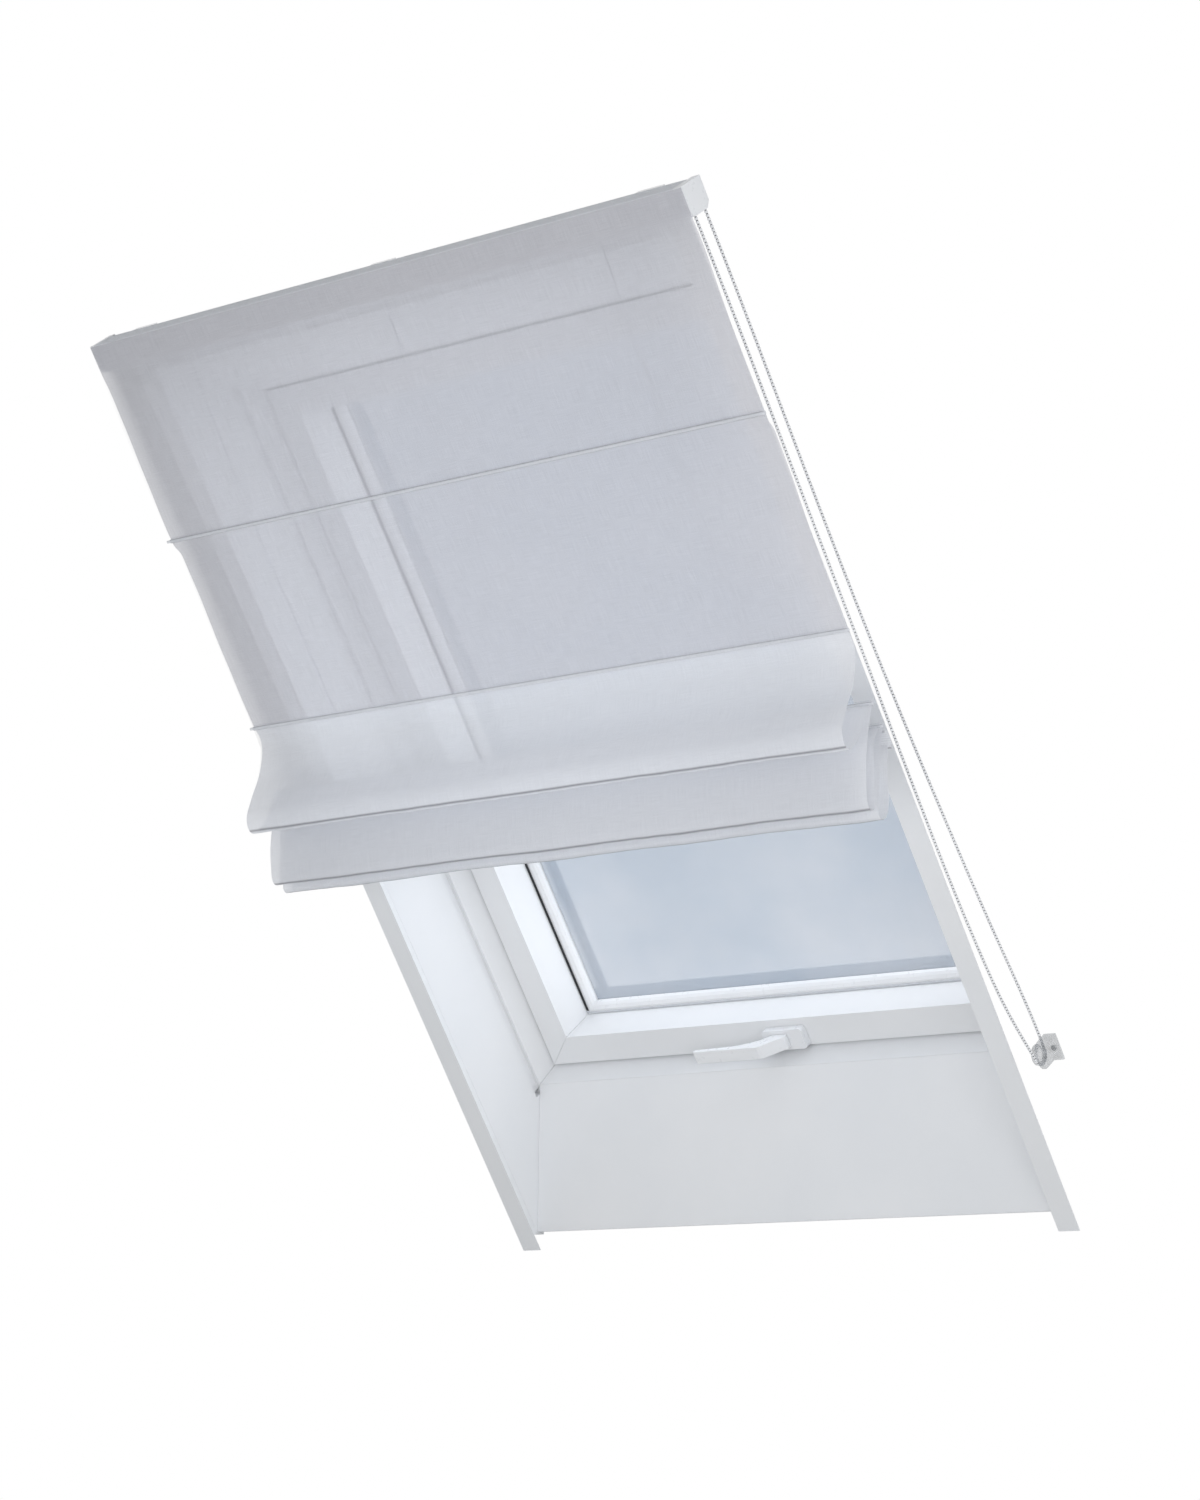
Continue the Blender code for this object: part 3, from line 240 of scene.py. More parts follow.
# share of the seal's height that is the pale foot strip
FOOT_STRIP = (0.005, 0.006)
FABRIC_DARK = (0.67, 0.67, 0.705)
FABRIC_LIGHT = (0.77, 0.77, 0.805)
# a lighter copy of the fabric's tones, painted light for the gathered folds, the tunnels and the top wrap
GATHERED_LIT_LOW = (0.82, 0.832, 0.86)
GATHERED_LIT_HIGH = (0.90, 0.912, 0.94)
# painted shade: the dark colour laid along the belly lines of gathered folds and the sewn edges of tunnels
FABRIC_CREASE_SHADE = (0.26, 0.26, 0.28)
FABRIC_GLOW = 0.36


def node(tree, kind, **inputs):
    """A shader node with its inputs set by name; underscores stand for spaces."""
    made = tree.nodes.new(kind)
    for name, value in inputs.items():
        link_or_set(tree, made.inputs[name.replace("_", " ")], value)
    return made


def link_or_set(tree, socket, value):
    if isinstance(value, bpy.types.NodeSocket):
        tree.links.new(value, socket)
    else:
        socket.default_value = value


def new_material(name, color, roughness, metallic=0.0, **sockets):
    """A material whose shader has these plain values; its tree and shader come back too."""
    made = bpy.data.materials.new(name)
    made.use_nodes = True
    tree = made.node_tree
    shader = tree.nodes["Principled BSDF"]
    shader.inputs["Base Color"].default_value = (*color, 1.0)
    shader.inputs["Roughness"].default_value = roughness
    shader.inputs["Metallic"].default_value = metallic
    for key, value in sockets.items():
        shader.inputs[key.replace("_", " ")].default_value = value
    return made, tree, shader


def grain(tree, scale, detail=4.0, stretch=(1, 1, 1), source="Object"):
    """Noise in metres; stretch makes it finer along some axes."""
    where = tree.nodes.new("ShaderNodeTexCoord").outputs[source]
    mapped = node(tree, "ShaderNodeMapping", Vector=where, Scale=stretch)
    made = node(tree, "ShaderNodeTexNoise", Vector=mapped.outputs[0], Scale=scale, Detail=detail)
    return made.outputs["Fac"]


def spread(tree, value, low, high, start=0.35, end=0.65):
    """A value mapped from start..end to low..high."""
    made = node(tree, "ShaderNodeMapRange", Value=value)
    for socket, number in zip(made.inputs[1:5], (start, end, low, high)):
        socket.default_value = number
    return made.outputs[0]


def blended(tree, value, first, second):
    """A colour between two, given as numbers or sockets, by a value from 0 to 1."""
    made = tree.nodes.new("ShaderNodeMix")
    made.data_type = "RGBA"
    tree.links.new(value, made.inputs["Factor"])
    for socket, color in zip(made.inputs[6:8], (first, second)):
        link_or_set(tree, socket, (*color, 1.0) if isinstance(color, tuple) else color)
    return made.outputs[2]


def computed(tree, operation, first, second):
    """Two values, each a number or a socket, in one of Blender's math operations."""
    made = tree.nodes.new("ShaderNodeMath")
    made.operation = operation
    link_or_set(tree, made.inputs[0], first)
    link_or_set(tree, made.inputs[1], second)
    return made.outputs[0]


def mixed(tree, share, first, second):
    """A shader between two, by a number or a socket from 0 to 1."""
    made = node(tree, "ShaderNodeMixShader", Fac=share)
    tree.links.new(first.outputs[0], made.inputs[1])
    tree.links.new(second.outputs[0], made.inputs[2])
    return made


def tinted(tree, shader, value, dark, light):
    """Colours a shader between two tones, by a noise."""
    color = blended(tree, spread(tree, value, 0, 1), dark, light)
    tree.links.new(color, shader.inputs["Base Color"])


def roughened(tree, shader, value, low, high):
    """Spreads a shader's roughness between two values, by a noise."""
    tree.links.new(spread(tree, value, low, high), shader.inputs["Roughness"])


def bumped(tree, shader, height, strength, distance):
    made = node(tree, "ShaderNodeBump", Height=height, Strength=strength, Distance=distance)
    tree.links.new(made.outputs[0], shader.inputs["Normal"])


def white_lacquer():
    """Sprayed satin lacquer on timber and board: a fine orange peel and slight tone changes."""
    made, tree, shader = new_material("white_lacquer_finish", (0.84, 0.85, 0.86), 0.4)
    tinted(tree, shader, grain(tree, 5.0, 6.0), (0.825, 0.838, 0.852), (0.855, 0.863, 0.872))
    roughened(tree, shader, grain(tree, 60.0, 5.0), 0.34, 0.46)
    bumped(tree, shader, grain(tree, 420.0, 3.0), 0.12, 0.0004)
    return made


def white_plastic():
    """Moulded plastic with a very fine even texture."""
    made, tree, shader = new_material("white_plastic_finish", (0.86, 0.875, 0.89), 0.3)
    tinted(tree, shader, grain(tree, 14.0, 3.0), (0.85, 0.865, 0.885), (0.87, 0.88, 0.892))
    roughened(tree, shader, grain(tree, 110.0, 3.0), 0.27, 0.36)
    bumped(tree, shader, grain(tree, 1500.0, 2.0), 0.1, 0.0002)
    return made


def bead_plastic():
    """Moulded beads of white plastic."""
    made, tree, shader = new_material("bead_finish", (0.88, 0.885, 0.89), 0.28)
    tinted(tree, shader, grain(tree, 60.0, 3.0), (0.86, 0.865, 0.875), (0.91, 0.915, 0.92))
    roughened(tree, shader, grain(tree, 300.0, 3.0), 0.24, 0.34)
    return made


def string_finish():
    """The moulded-in string between the beads: a real part, painted dark grey so that it lays painted shade
    in the gaps between the beads.
    """
    made, tree, shader = new_material("string_finish", (0.2, 0.2, 0.21), 0.6)
    twist = grain(tree, 700.0, 2.0)
    tinted(tree, shader, twist, (0.15, 0.15, 0.16), (0.25, 0.25, 0.26))
    bumped(tree, shader, twist, 0.3, 0.0002)
    return made


def white_metal():
    """Powder coat: a finer and rougher peel than lacquer."""
    made, tree, shader = new_material("powder_coat_finish", (0.84, 0.85, 0.86), 0.42)
    tinted(tree, shader, grain(tree, 9.0, 5.0), (0.82, 0.83, 0.845), (0.85, 0.857, 0.866))
    roughened(tree, shader, grain(tree, 240.0, 4.0), 0.38, 0.5)
    bumped(tree, shader, grain(tree, 900.0, 3.0), 0.18, 0.0003)
    return made


def bright_steel():
    """Zinc-plated steel with fine brushing along X."""
    made, tree, shader = new_material("zinc_finish", (0.68, 0.69, 0.70), 0.32, 1.0)
    streaks = grain(tree, 60.0, 6.0, (1, 40, 40))
    tinted(tree, shader, streaks, (0.6, 0.61, 0.62), (0.74, 0.745, 0.75))
    roughened(tree, shader, streaks, 0.26, 0.42)
    bumped(tree, shader, streaks, 0.1, 0.0002)
    return made


def cover_metal():
    """Natural aluminium covers with a little dust."""
    made, tree, shader = new_material("cover_finish", (0.74, 0.75, 0.77), 0.4, 0.9)
    dust = spread(tree, grain(tree, 7.0, 8.0), 0, 1, 0.42, 0.72)
    color = blended(tree, dust, (0.78, 0.79, 0.81), (0.66, 0.66, 0.66))
    tree.links.new(color, shader.inputs["Base Color"])
    roughened(tree, shader, grain(tree, 90.0, 5.0), 0.3, 0.48)
    bumped(tree, shader, grain(tree, 800.0, 3.0), 0.15, 0.0003)
    return made


def polished_metal():
    """The bright spacer between the panes, which shows the sky."""
    made, tree, shader = new_material("polished_finish", (0.93, 0.94, 0.95), 0.14, 1.0)
    marks = grain(tree, 80.0, 5.0)
    tinted(tree, shader, marks, (0.91, 0.92, 0.93), (0.95, 0.955, 0.96))
    roughened(tree, shader, marks, 0.1, 0.2)
    return made


def dark_rubber():
    """Black glazing seal, with a pale strip along the lowest edge of its height."""
    made, tree, shader = new_material("rubber_finish", (0.02, 0.02, 0.022), 0.7)
    tone = spread(tree, grain(tree, 40.0, 5.0), 0, 1)
    color = blended(tree, tone, (0.014, 0.014, 0.016), (0.032, 0.033, 0.036))
    where = tree.nodes.new("ShaderNodeTexCoord").outputs["Generated"]
    level = node(tree, "ShaderNodeSeparateXYZ", Vector=where)
    foot = spread(tree, level.outputs["Z"], 1, 0, *FOOT_STRIP)
    color = blended(tree, foot, color, (0.62, 0.64, 0.67))
    tree.links.new(color, shader.inputs["Base Color"])
    roughened(tree, shader, grain(tree, 300.0, 3.0), 0.6, 0.8)
    bumped(tree, shader, grain(tree, 700.0, 3.0), 0.2, 0.0002)
    return made


def clear_glass(name, dark, light, cover):
    """Glass whose colour is a painted pale overcast sky: cool grey with soft painted clouds in it.

    cover is the share of the glass's own colour over what is behind it.
    """
    made, tree, shader = new_material(name, (0.6, 0.66, 0.73), 0.04)
    # painted sky: soft clouds laid into the glass's colour
    clouds = spread(tree, grain(tree, 3.2, 3.0, (1, 0.8, 1.4)), 0, 1, 0.40, 0.62)
    color = blended(tree, clouds, dark, light)
    tree.links.new(color, shader.inputs["Base Color"])
    roughened(tree, shader, grain(tree, 30.0, 3.0), 0.02, 0.06)
    shader.inputs["Alpha"].default_value = cover
    return made


def clear_plastic():
    """Clear moulded plastic, seen grey against white: that grey is painted, in place of the darkening
    refraction gives it, with faint flow marks.
    """
    made, tree, shader = new_material("clear_plastic_finish", (0.60, 0.62, 0.64), 0.1)
    tinted(tree, shader, grain(tree, 120.0, 4.0), (0.36, 0.375, 0.39), (0.62, 0.64, 0.66))
    roughened(tree, shader, grain(tree, 400.0, 2.0), 0.05, 0.14)
    shader.inputs["Alpha"].default_value = 0.4
    return made


def sheer_fabric(name, thin, thick, dark=FABRIC_DARK, light=FABRIC_LIGHT):
    """Sheer plain weave: crossed threads, slubs along both, and daylight that shines through the yarns.

    thin and thick are how much the open weave and the yarns cover.
    """
    made, tree, shader = new_material(name, (0.6, 0.62, 0.66), 0.85, Sheen_Weight=0.15, Sheen_Roughness=0.5)
    cloth = tree.nodes.new("ShaderNodeTexCoord").outputs["UV"]
    threads = []
    for direction in ("X", "Y"):
        wave = node(tree, "ShaderNodeTexWave", Vector=cloth, Scale=330.0, Distortion=1.2, Detail_Scale=40.0)
        wave.wave_type = "BANDS"
        wave.bands_direction = direction
        threads.append(wave.outputs["Fac"])
    weave = computed(tree, "MAXIMUM", *threads)
    along = grain(tree, 10.0, 6.0, (3, 120, 1), "UV")
    upright = grain(tree, 10.0, 6.0, (120, 3, 1), "UV")
    slubs = computed(tree, "ADD", along, upright)
    tone = spread(tree, slubs, 0, 1, 0.75, 1.25)
    color = blended(tree, tone, dark, light)
    # painted shade: darkens the cloth where the shade attribute says
    crease_shade_read = tree.nodes.new("ShaderNodeAttribute")
    crease_shade_read.attribute_name = "crease_shade"
    color = blended(tree, crease_shade_read.outputs["Fac"], color, FABRIC_CREASE_SHADE)
    tree.links.new(color, shader.inputs["Base Color"])
    bumped(tree, shader, computed(tree, "ADD", weave, slubs), 0.25, 0.0003)
    glow = node(tree, "ShaderNodeBsdfTranslucent", Color=color)
    yarn = mixed(tree, FABRIC_GLOW, shader, glow)
    cover = spread(tree, weave, thin, thick, 0.2, 0.9)
    whole = mixed(tree, cover, node(tree, "ShaderNodeBsdfTransparent"), yarn)
    tree.links.new(whole.outputs[0], tree.nodes["Material Output"].inputs["Surface"])
    return made


def thread_finish():
    """Polyester sewing thread."""
    made, tree, shader = new_material("thread_finish", (0.6, 0.62, 0.66), 0.7)
    twist = grain(tree, 900.0, 2.0)
    tinted(tree, shader, twist, (0.48, 0.5, 0.55), (0.66, 0.68, 0.72))
    bumped(tree, shader, twist, 0.3, 0.0002)
    return made


LACQUER = white_lacquer()
PLASTIC = white_plastic()
BEADS = bead_plastic()
STRING = string_finish()
POWDER = white_metal()
ZINC = bright_steel()
COVER = cover_metal()
RUBBER = dark_rubber()
# both panes carry a painted view of the sky in their colour
GLASS = clear_glass("glass_finish", (0.66, 0.75, 0.86), (0.79, 0.845, 0.92), 0.55)
OUTER_GLASS = clear_glass("outer_glass_finish", (0.34, 0.46, 0.66), (0.54, 0.66, 0.84), 0.10)
POLISHED = polished_metal()
CLEAR = clear_plastic()
CLOTH = sheer_fabric("cloth_finish", 0.61, 0.84)
# the gathered folds, tunnels and top wrap take the lighter tones: painted light on the same cloth
GATHERED = sheer_fabric("gathered_cloth_finish", 0.72, 0.92, GATHERED_LIT_LOW, GATHERED_LIT_HIGH)
POCKET_CLOTH = sheer_fabric("pocket_cloth_finish", 0.80, 0.96, GATHERED_LIT_LOW, GATHERED_LIT_HIGH)
THREAD = thread_finish()

FINISHES = {
    LACQUER: (
        "trim_left", "trim_right", "trim_head", "lining_left", "lining_right", "lining_head",
        "lining_sill", "frame_left", "frame_right", "frame_head", "frame_sill", "sash_left",
        "sash_right", "sash_head", "sash_sill",
    ),
    PLASTIC: (
        "glazing_bead", "handle_lever", "handle_base", "end_cap_idle", "drive_housing",
        "cord_spool_left", "cord_spool_centre", "cord_spool_right", "spool_cradle_left",
        "spool_cradle_centre", "spool_cradle_right", "chain_wheel", "rod_1", "rod_2", "rod_3", "rod_4",
    ),
    POWDER: (
        "headrail", "bottom_bar", "hinge_frame_leaf_left", "hinge_frame_leaf_right",
        "hinge_sash_leaf_left", "hinge_sash_leaf_right",
    ),
    ZINC: (
        "lift_shaft", "ceiling_bracket_left", "ceiling_bracket_centre", "ceiling_bracket_right",
        "hinge_pin_left", "hinge_pin_right", "tensioner_screw",
    ),
    POLISHED: ("glass_spacer",),
    COVER: ("frame_cover", "sash_cover"),
    RUBBER: ("glazing_gasket",),
    GLASS: ("glass_inner",),
    OUTER_GLASS: ("glass_outer",),
    CLEAR: ("chain_tensioner",),
}


def finish_nodes():
    for material, names in FINISHES.items():
        for name in names:
            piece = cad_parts[name]
            for place in piece.material_slots:
                place.material = material
            if not piece.material_slots:
                piece.data.materials.append(material)


finish_nodes()


# Bead chain and lift cords

BEAD_RADIUS = 2.3
BEAD_PITCH = 4.7
# thick enough that the dark string shows between the beads as painted shade
STRING_RADIUS = 1.45
LIFT_CORD_RADIUS = 0.7
TAIL_RADIUS = 0.62
TAIL_TOP = -3.0
WHEEL_X = 507.5
WHEEL_RADIUS = 12.0
SHAFT_OUT = -19.0
TENSIONER = (533.0, 1197.0, -20.0)
TURN_RADIUS = 13.3
STRAND_POINTS = 32
ROOM_STRAND = (
    (0, 15, -31), (0, 28, -31), (1.2, 76, -31.5), (3.5, 180, -34), (6.5, 320, -39),
    (9.8, 470, -44.5), (13, 615, -49.5), (16.3, 765, -55.5), (19.3, 904, -59.5),
    (21.7, 1010, -58.5), (23.5, 1090, -54), (24.8, 1150, -44.5), (25.5, 1180, -36.5),
)
CEILING_STRAND = (
    (25.5, 1180, -6.4), (24.8, 1150, -6.3), (23.5, 1090, -9), (21.7, 1010, -14),
    (19.3, 904, -18.5), (16.3, 765, -22), (13, 615, -23), (9.8, 470, -20.5),
    (6.5, 320, -15.5), (3.5, 180, -10.5), (1.2, 76, -7.6), (0, 28, -7), (0, 15, -7),
)
RODS = ((271.5, -52.0), (565.6, -52.0), (664.0, -60.0), (697.0, -57.0))
BAR = (716.0, -56.0)
CORD_X = (-360.0, 0.0, 360.0)
SPOOL_SIDE = -28.5
ROD_RING = 6.8
BAR_RING = 8.2


def arc(centre, radius, start, end, steps):
    """Points on a circle in (down, out), angles in degrees."""
    found = []
    for step in range(steps + 1):
        angle = math.radians(start + (end - start) * step / steps)
        found.append((centre[0] + radius * math.cos(angle), centre[1] + radius * math.sin(angle)))
    return found


def chain_route():
    """Down the room side, round the tensioner's hub, and up the ceiling side."""
    turn = arc(TENSIONER[1:], TURN_RADIUS, -90, 90, 12)
    bend = [Vector((TENSIONER[0], down, out)) for down, out in turn]
    room = [Vector(point) + Vector((WHEEL_X, 0, 0)) for point in ROOM_STRAND]
    ceiling = [Vector(point) + Vector((WHEEL_X, 0, 0)) for point in CEILING_STRAND]
    there = smooth_path([*room, bend[0]], STRAND_POINTS)
    back = smooth_path([bend[-1], *ceiling], STRAND_POINTS)
    return [slope(*point) for point in there + bend[1:-1] + back]


def beads(points):
    """Balls along a path with the string through them, and how many faces the balls have."""
    count = round(path_length(points) / (BEAD_PITCH * MM)) + 1
    places = []
    ends = smooth_path(points, count)
    for index, place in enumerate(ends):
        ahead = ends[min(index + 1, count - 1)] - ends[max(index - 1, 0)]
        turn = ahead.to_track_quat("Z", "X").to_matrix().to_4x4()
        places.append(Matrix.Translation(place) @ turn)
    balls = repeated(ball(BEAD_RADIUS * MM, 7, 10), places)
    string = tube(smooth_path(points, count * 2), STRING_RADIUS * MM, 6)
    return together(balls, string), len(balls[1])


def beaded_piece(name, points):
    """A run of the chain, with the balls in one material and the string in another."""
    (verts, faces), count = beads(points)
    piece = new_piece(name, verts, faces, BEADS)
    piece.data.materials.append(STRING)
    for face in piece.data.polygons[count:]:
        face.material_index = 1
    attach(piece, "window_frame")
    return piece


def make_chain():
    route = chain_route()
    chain = beaded_piece("bead_chain_balls", route)
    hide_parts("bead_chain")
    entry = ROOM_STRAND[0][1]
    over = arc((0, SHAFT_OUT), WHEEL_RADIUS, 270, 90, 16)
    run = [(entry, SHAFT_OUT - WHEEL_RADIUS), *over, (entry, SHAFT_OUT + WHEEL_RADIUS)]
    beaded_piece("bead_chain_over_wheel", [slope(WHEEL_X, down, out) for down, out in run])


def lift_cord_points(x, top):
    """From the spool through the rings behind the rods to the bottom bar."""
    points = [slope(x, top, SPOOL_SIDE)]
    for down, out in RODS:
        points.append(slope(x, down, out + ROD_RING))
    points.append(slope(x, BAR[0], BAR[1] + BAR_RING))
    return points


def make_lift_cords():
    """Each cord is two pieces that lie together at rest.

    One hangs from the spool and one stands on the bottom bar, so that together they reach from one
    to the other wherever the bar is.
    """
    for name, x in zip(("left", "centre", "right"), CORD_X):
        hanging = tube(lift_cord_points(x, TAIL_TOP), TAIL_RADIUS * MM)
        tail = new_piece(f"lift_cord_{name}_tail", *hanging, THREAD)
        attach(tail, "bottom_bar")
        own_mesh(tail)
        line = lift_cord_points(x, 0.0)
        cord = new_piece(f"lift_cord_{name}_line", *tube(line, LIFT_CORD_RADIUS * MM), THREAD)
        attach(cord, "window_frame")
        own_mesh(cord)
        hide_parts(f"lift_cord_{name}")


make_chain()
make_lift_cords()


# Fabric

CLOTH_HALF = 513.0
CLOTH_COLUMNS = 172
# half sizes of the sewn ovals, down the slope and out through the roof
TUNNEL_HALF = (2.7, 2.6)
HEM_HALF = (13.0, 4.3)
CLOTH_TOP = (-19.2, -44.7)
TOP_BEND = ((20, -44.9), (45, -43.6), (80, -44.4), (150, -48), (220, -51))
TOP_WRAP = ((-20.5, -11), (-20.6, -43.4), (-20.3, -44.3), (-19.2, -44.7))
WRAP_ENDS = (-502.5, 500.5)
WRAP_COLUMNS = 120
FOLD_1 = (
    (580, -50), (595, -54), (609, -64), (623, -78), (634, -93), (642, -107), (651, -121),
    (661, -135), (673, -142), (684, -142), (690, -135), (688, -117), (681, -99), (670, -82),
    (665, -71),
)
FOLD_2 = (
    (673, -70), (689, -88), (706, -105), (726, -121), (747, -134), (760, -141), (770, -141),
    (773, -133), (756, -119), (726, -99), (705, -82), (698, -68),
)
FOLD_3 = (
    (707, -65), (730, -87), (755, -108), (775, -123), (785, -129), (792, -126), (793, -117),
    (786, -106), (776, -97), (763, -89), (744, -77), (728, -64),
)
HALFWAY = ((RODS[0][0] + RODS[1][0]) / 2, RODS[0][1])
FLAT_ROWS = 60
FOLD_ROWS = 84
SPANS = (
    # name, node that it stands for, path between the rods, belly, depth of the waves, rows
    ("cloth_1", "fabric_upper", TOP_BEND, (135, -49.6), 1.6, FLAT_ROWS),
    ("cloth_2", "fabric_middle", (HALFWAY,), HALFWAY, 1.8, FLAT_ROWS),
    ("cloth_3_fold", "fabric_fold_1", FOLD_1, (684, -142), 2.2, FOLD_ROWS),
    ("cloth_4_fold", "fabric_fold_2", FOLD_2, (770, -141), 2.2, FOLD_ROWS),
    ("cloth_5_fold", "fabric_fold_3", FOLD_3, (792, -126), 2.2, FOLD_ROWS),
)
CLOTH_BODIES = (
    "window_frame", "upper_fold", "first_rod", "middle_fold", "second_rod", "gathered_fold_1",
    "third_rod", "gathered_fold_2", "fourth_rod", "gathered_fold_3", "bottom_bar",
)
ROD_BODIES = CLOTH_BODIES[2:-1:2]
# how often the cloth's unevenness changes, across and along, in the noise's own units
BROAD_WAVES = (0.006, 0.012)
FINE_WAVES = (0.03, 0.02)
FINE_SHARE = 0.35
POCKET_REACH = 514.6
OVAL_STEPS = 24
# distance of the stitches from the middle of the tunnel
ROD_SEAM = (4.4, 0.5)
HEM_SEAM = (10.5, 3.4)
STITCH_PITCH = 3.6
STITCH_RADIUS = 0.32
STITCH_STRETCH = 4.2
CORD_RING_RADIUS = 3.4
CORD_RING_WIRE = 0.9
# painted shade at the sewn edges of a tunnel, by the step round the oval
SEAM_PAINTED_SHADE = {0: 0.4, 23: 1.0, 22: 0.6, 14: 0.5, 13: 0.3}
# width of the painted shade along a belly line
CREASE_WIDTH = 1.8
# the side edges of these spans curl towards the ceiling, below the rod
CURL_FROM = (380.0, 500.0)
CURL_GROWS = 24.0
CURL_ENDS = 250.0
CURL_DEPTHS = {"cloth_2": 8.0}


def rim(centre, half, toward):
    """The point where a tunnel's oval is met on the way to a point of the fabric."""
    way = (Vector(toward) - Vector(centre)).normalized()
    reach = 1 / math.hypot(way.x / half[0], way.y / half[1])
    return Vector(centre) + way * reach


def smooth_step(value, low, high):
    share = min(max((value - low) / (high - low), 0.0), 1.0)
    return share * share * (3 - 2 * share)


def curl_share(distance):
    """How far the side edges curl towards the ceiling, by the distance below the rod."""
    return smooth_step(distance, 0, CURL_GROWS) * (1 - smooth_step(distance, CURL_GROWS, CURL_ENDS))


def cloth_points(path, lengths, belly, waves, curl, gathered):
    """Vertices, weave coordinates and painted shade along the belly line of a span; belly is the row of its
    belly line.
    """
    rows = len(path)
    verts, coordinates, crease_shades = [], [], []
    for row, point in enumerate(path):
        ahead = path[min(row + 1, rows - 1)] - path[max(row - 1, 0)]
        normal = Vector((-ahead.y, ahead.x)).normalized()
        held = max(math.sin(math.pi * row / (rows - 1)), 0.0) ** 0.7
        along = lengths[row]
        # painted shade along the belly line of a gathered fold
        crease_shade = math.exp(-(((along - lengths[belly]) / CREASE_WIDTH) ** 2)) if gathered else 0.0
        for column in range(CLOTH_COLUMNS):
            x = -CLOTH_HALF + 2 * CLOTH_HALF * column / (CLOTH_COLUMNS - 1)
            broad = Vector((x * BROAD_WAVES[0], along * BROAD_WAVES[1], waves * 9))
            fine = Vector((x * FINE_WAVES[0], along * FINE_WAVES[1], 4.0))
            lift = waves * held * noise.noise(broad) + FINE_SHARE * waves * held * noise.noise(fine)
            spot = point + normal * lift
            if curl:
                spot.y += curl * smooth_step(abs(x), *CURL_FROM) * curl_share(along)
            verts.append(slope(x, spot.x, spot.y))
            coordinates.append((x * MM, along * MM))
            crease_shades.append(crease_shade)
    return verts, coordinates, crease_shades


def cloth_span(span, start, end, above):
    """A span of fabric between two rods, in two halves that meet on its belly line.

    above, the pieces sewn to its upper end, is not used.
    """
    name, stands_for, middle, belly, waves, rows = SPANS[span]
    # gathered spans take the lighter copy of the fabric, which is painted light, and a painted shade along
    # the belly
    gathered = "fold" in name
    path = smooth_path([start, *middle, end], rows)
    split = min(range(rows), key=lambda row: (path[row] - Vector(belly)).length)
    lengths = distances(path)
    verts, coordinates, crease_shades = cloth_points(
        path, lengths, split, waves, CURL_DEPTHS.get(name, 0.0), gathered
    )
    for index, (low, high) in enumerate(((0, split), (split, rows - 1))):
        label = f"{name}_{('upper', 'lower')[index]}"
        piece = new_piece(
            label,
            verts[low * CLOTH_COLUMNS : (high + 1) * CLOTH_COLUMNS],
            grid_faces(high - low, CLOTH_COLUMNS),
            GATHERED if gathered else CLOTH,
            coordinates=coordinates[low * CLOTH_COLUMNS : (high + 1) * CLOTH_COLUMNS],
            crease_shades=crease_shades[low * CLOTH_COLUMNS : (high + 1) * CLOTH_COLUMNS],
        )
        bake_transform(piece)
        if index == 0:
            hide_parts(stands_for)


def oval(centre, half):
    found = []
    for step in range(OVAL_STEPS):
        angle = 2 * math.pi * step / OVAL_STEPS
        found.append((centre[0] + half[0] * math.cos(angle), centre[1] + half[1] * math.sin(angle)))
    return found


def pocket(name, centre, half, body):
    """A sewn tunnel: a closed oval of cloth along the rod, slightly uneven."""
    ring = oval(centre, half)
    count = len(ring)
    verts, coordinates, crease_shades, faces = [], [], [], []
    for column in range(CLOTH_COLUMNS):
        x = -POCKET_REACH + 2 * POCKET_REACH * column / (CLOTH_COLUMNS - 1)
        for step, (down, out) in enumerate(ring):
            swell = 1 + 0.04 * noise.noise(Vector((x * 0.02, step * 0.5, centre[0])))
            spot = Vector(centre) + (Vector((down, out)) - Vector(centre)) * swell
            verts.append(slope(x, spot.x, spot.y))
            coordinates.append((x * MM, step * MM))
            # painted shade at the tunnel's sewn edges
            crease_shades.append(SEAM_PAINTED_SHADE.get(step, 0.0))
    for column in range(CLOTH_COLUMNS - 1):
        for step in range(count):
            low, following = column * count + step, column * count + (step + 1) % count
            faces.append((low, low + count, following + count, following))
    piece = new_piece(name, verts, faces, POCKET_CLOTH, coordinates=coordinates, crease_shades=crease_shades)
    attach(piece, body)
    return piece


def stitches(name, tunnel, seam, body):
    """A row of sewn thread across the fabric, at the seam's distance from a tunnel."""
    down, out = tunnel[0] - seam[0], tunnel[1] - seam[1]
    count = int(2 * CLOTH_HALF / STITCH_PITCH) - 1
    longer = Matrix.Diagonal((STITCH_STRETCH, 1, 1, 1))
    places = []
    for index in range(count):
        x = (index - (count - 1) / 2) * STITCH_PITCH
        places.append(Matrix.Translation(slope(x, down, out)) @ longer)
    piece = new_piece(name, *repeated(ball(STITCH_RADIUS * MM, 4, 6), places), THREAD)
    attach(piece, body)
    return piece


def cord_rings(name, down, out, body):
    """The small plastic rings behind a tunnel that guide the lift cords."""
    loops = []
    for x in CORD_X:
        centre = slope(x, down, out)
        circle = []
        for step in range(OVAL_STEPS):
            angle = 2 * math.pi * step / OVAL_STEPS
            way = ACROSS * math.cos(angle) + OUT * math.sin(angle)
            circle.append(centre + way * CORD_RING_RADIUS * MM)
        circle.append(circle[0].copy())
        loops.append(tube(circle, CORD_RING_WIRE * MM))
    piece = new_piece(name, *together(*loops), PLASTIC)
    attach(piece, body)


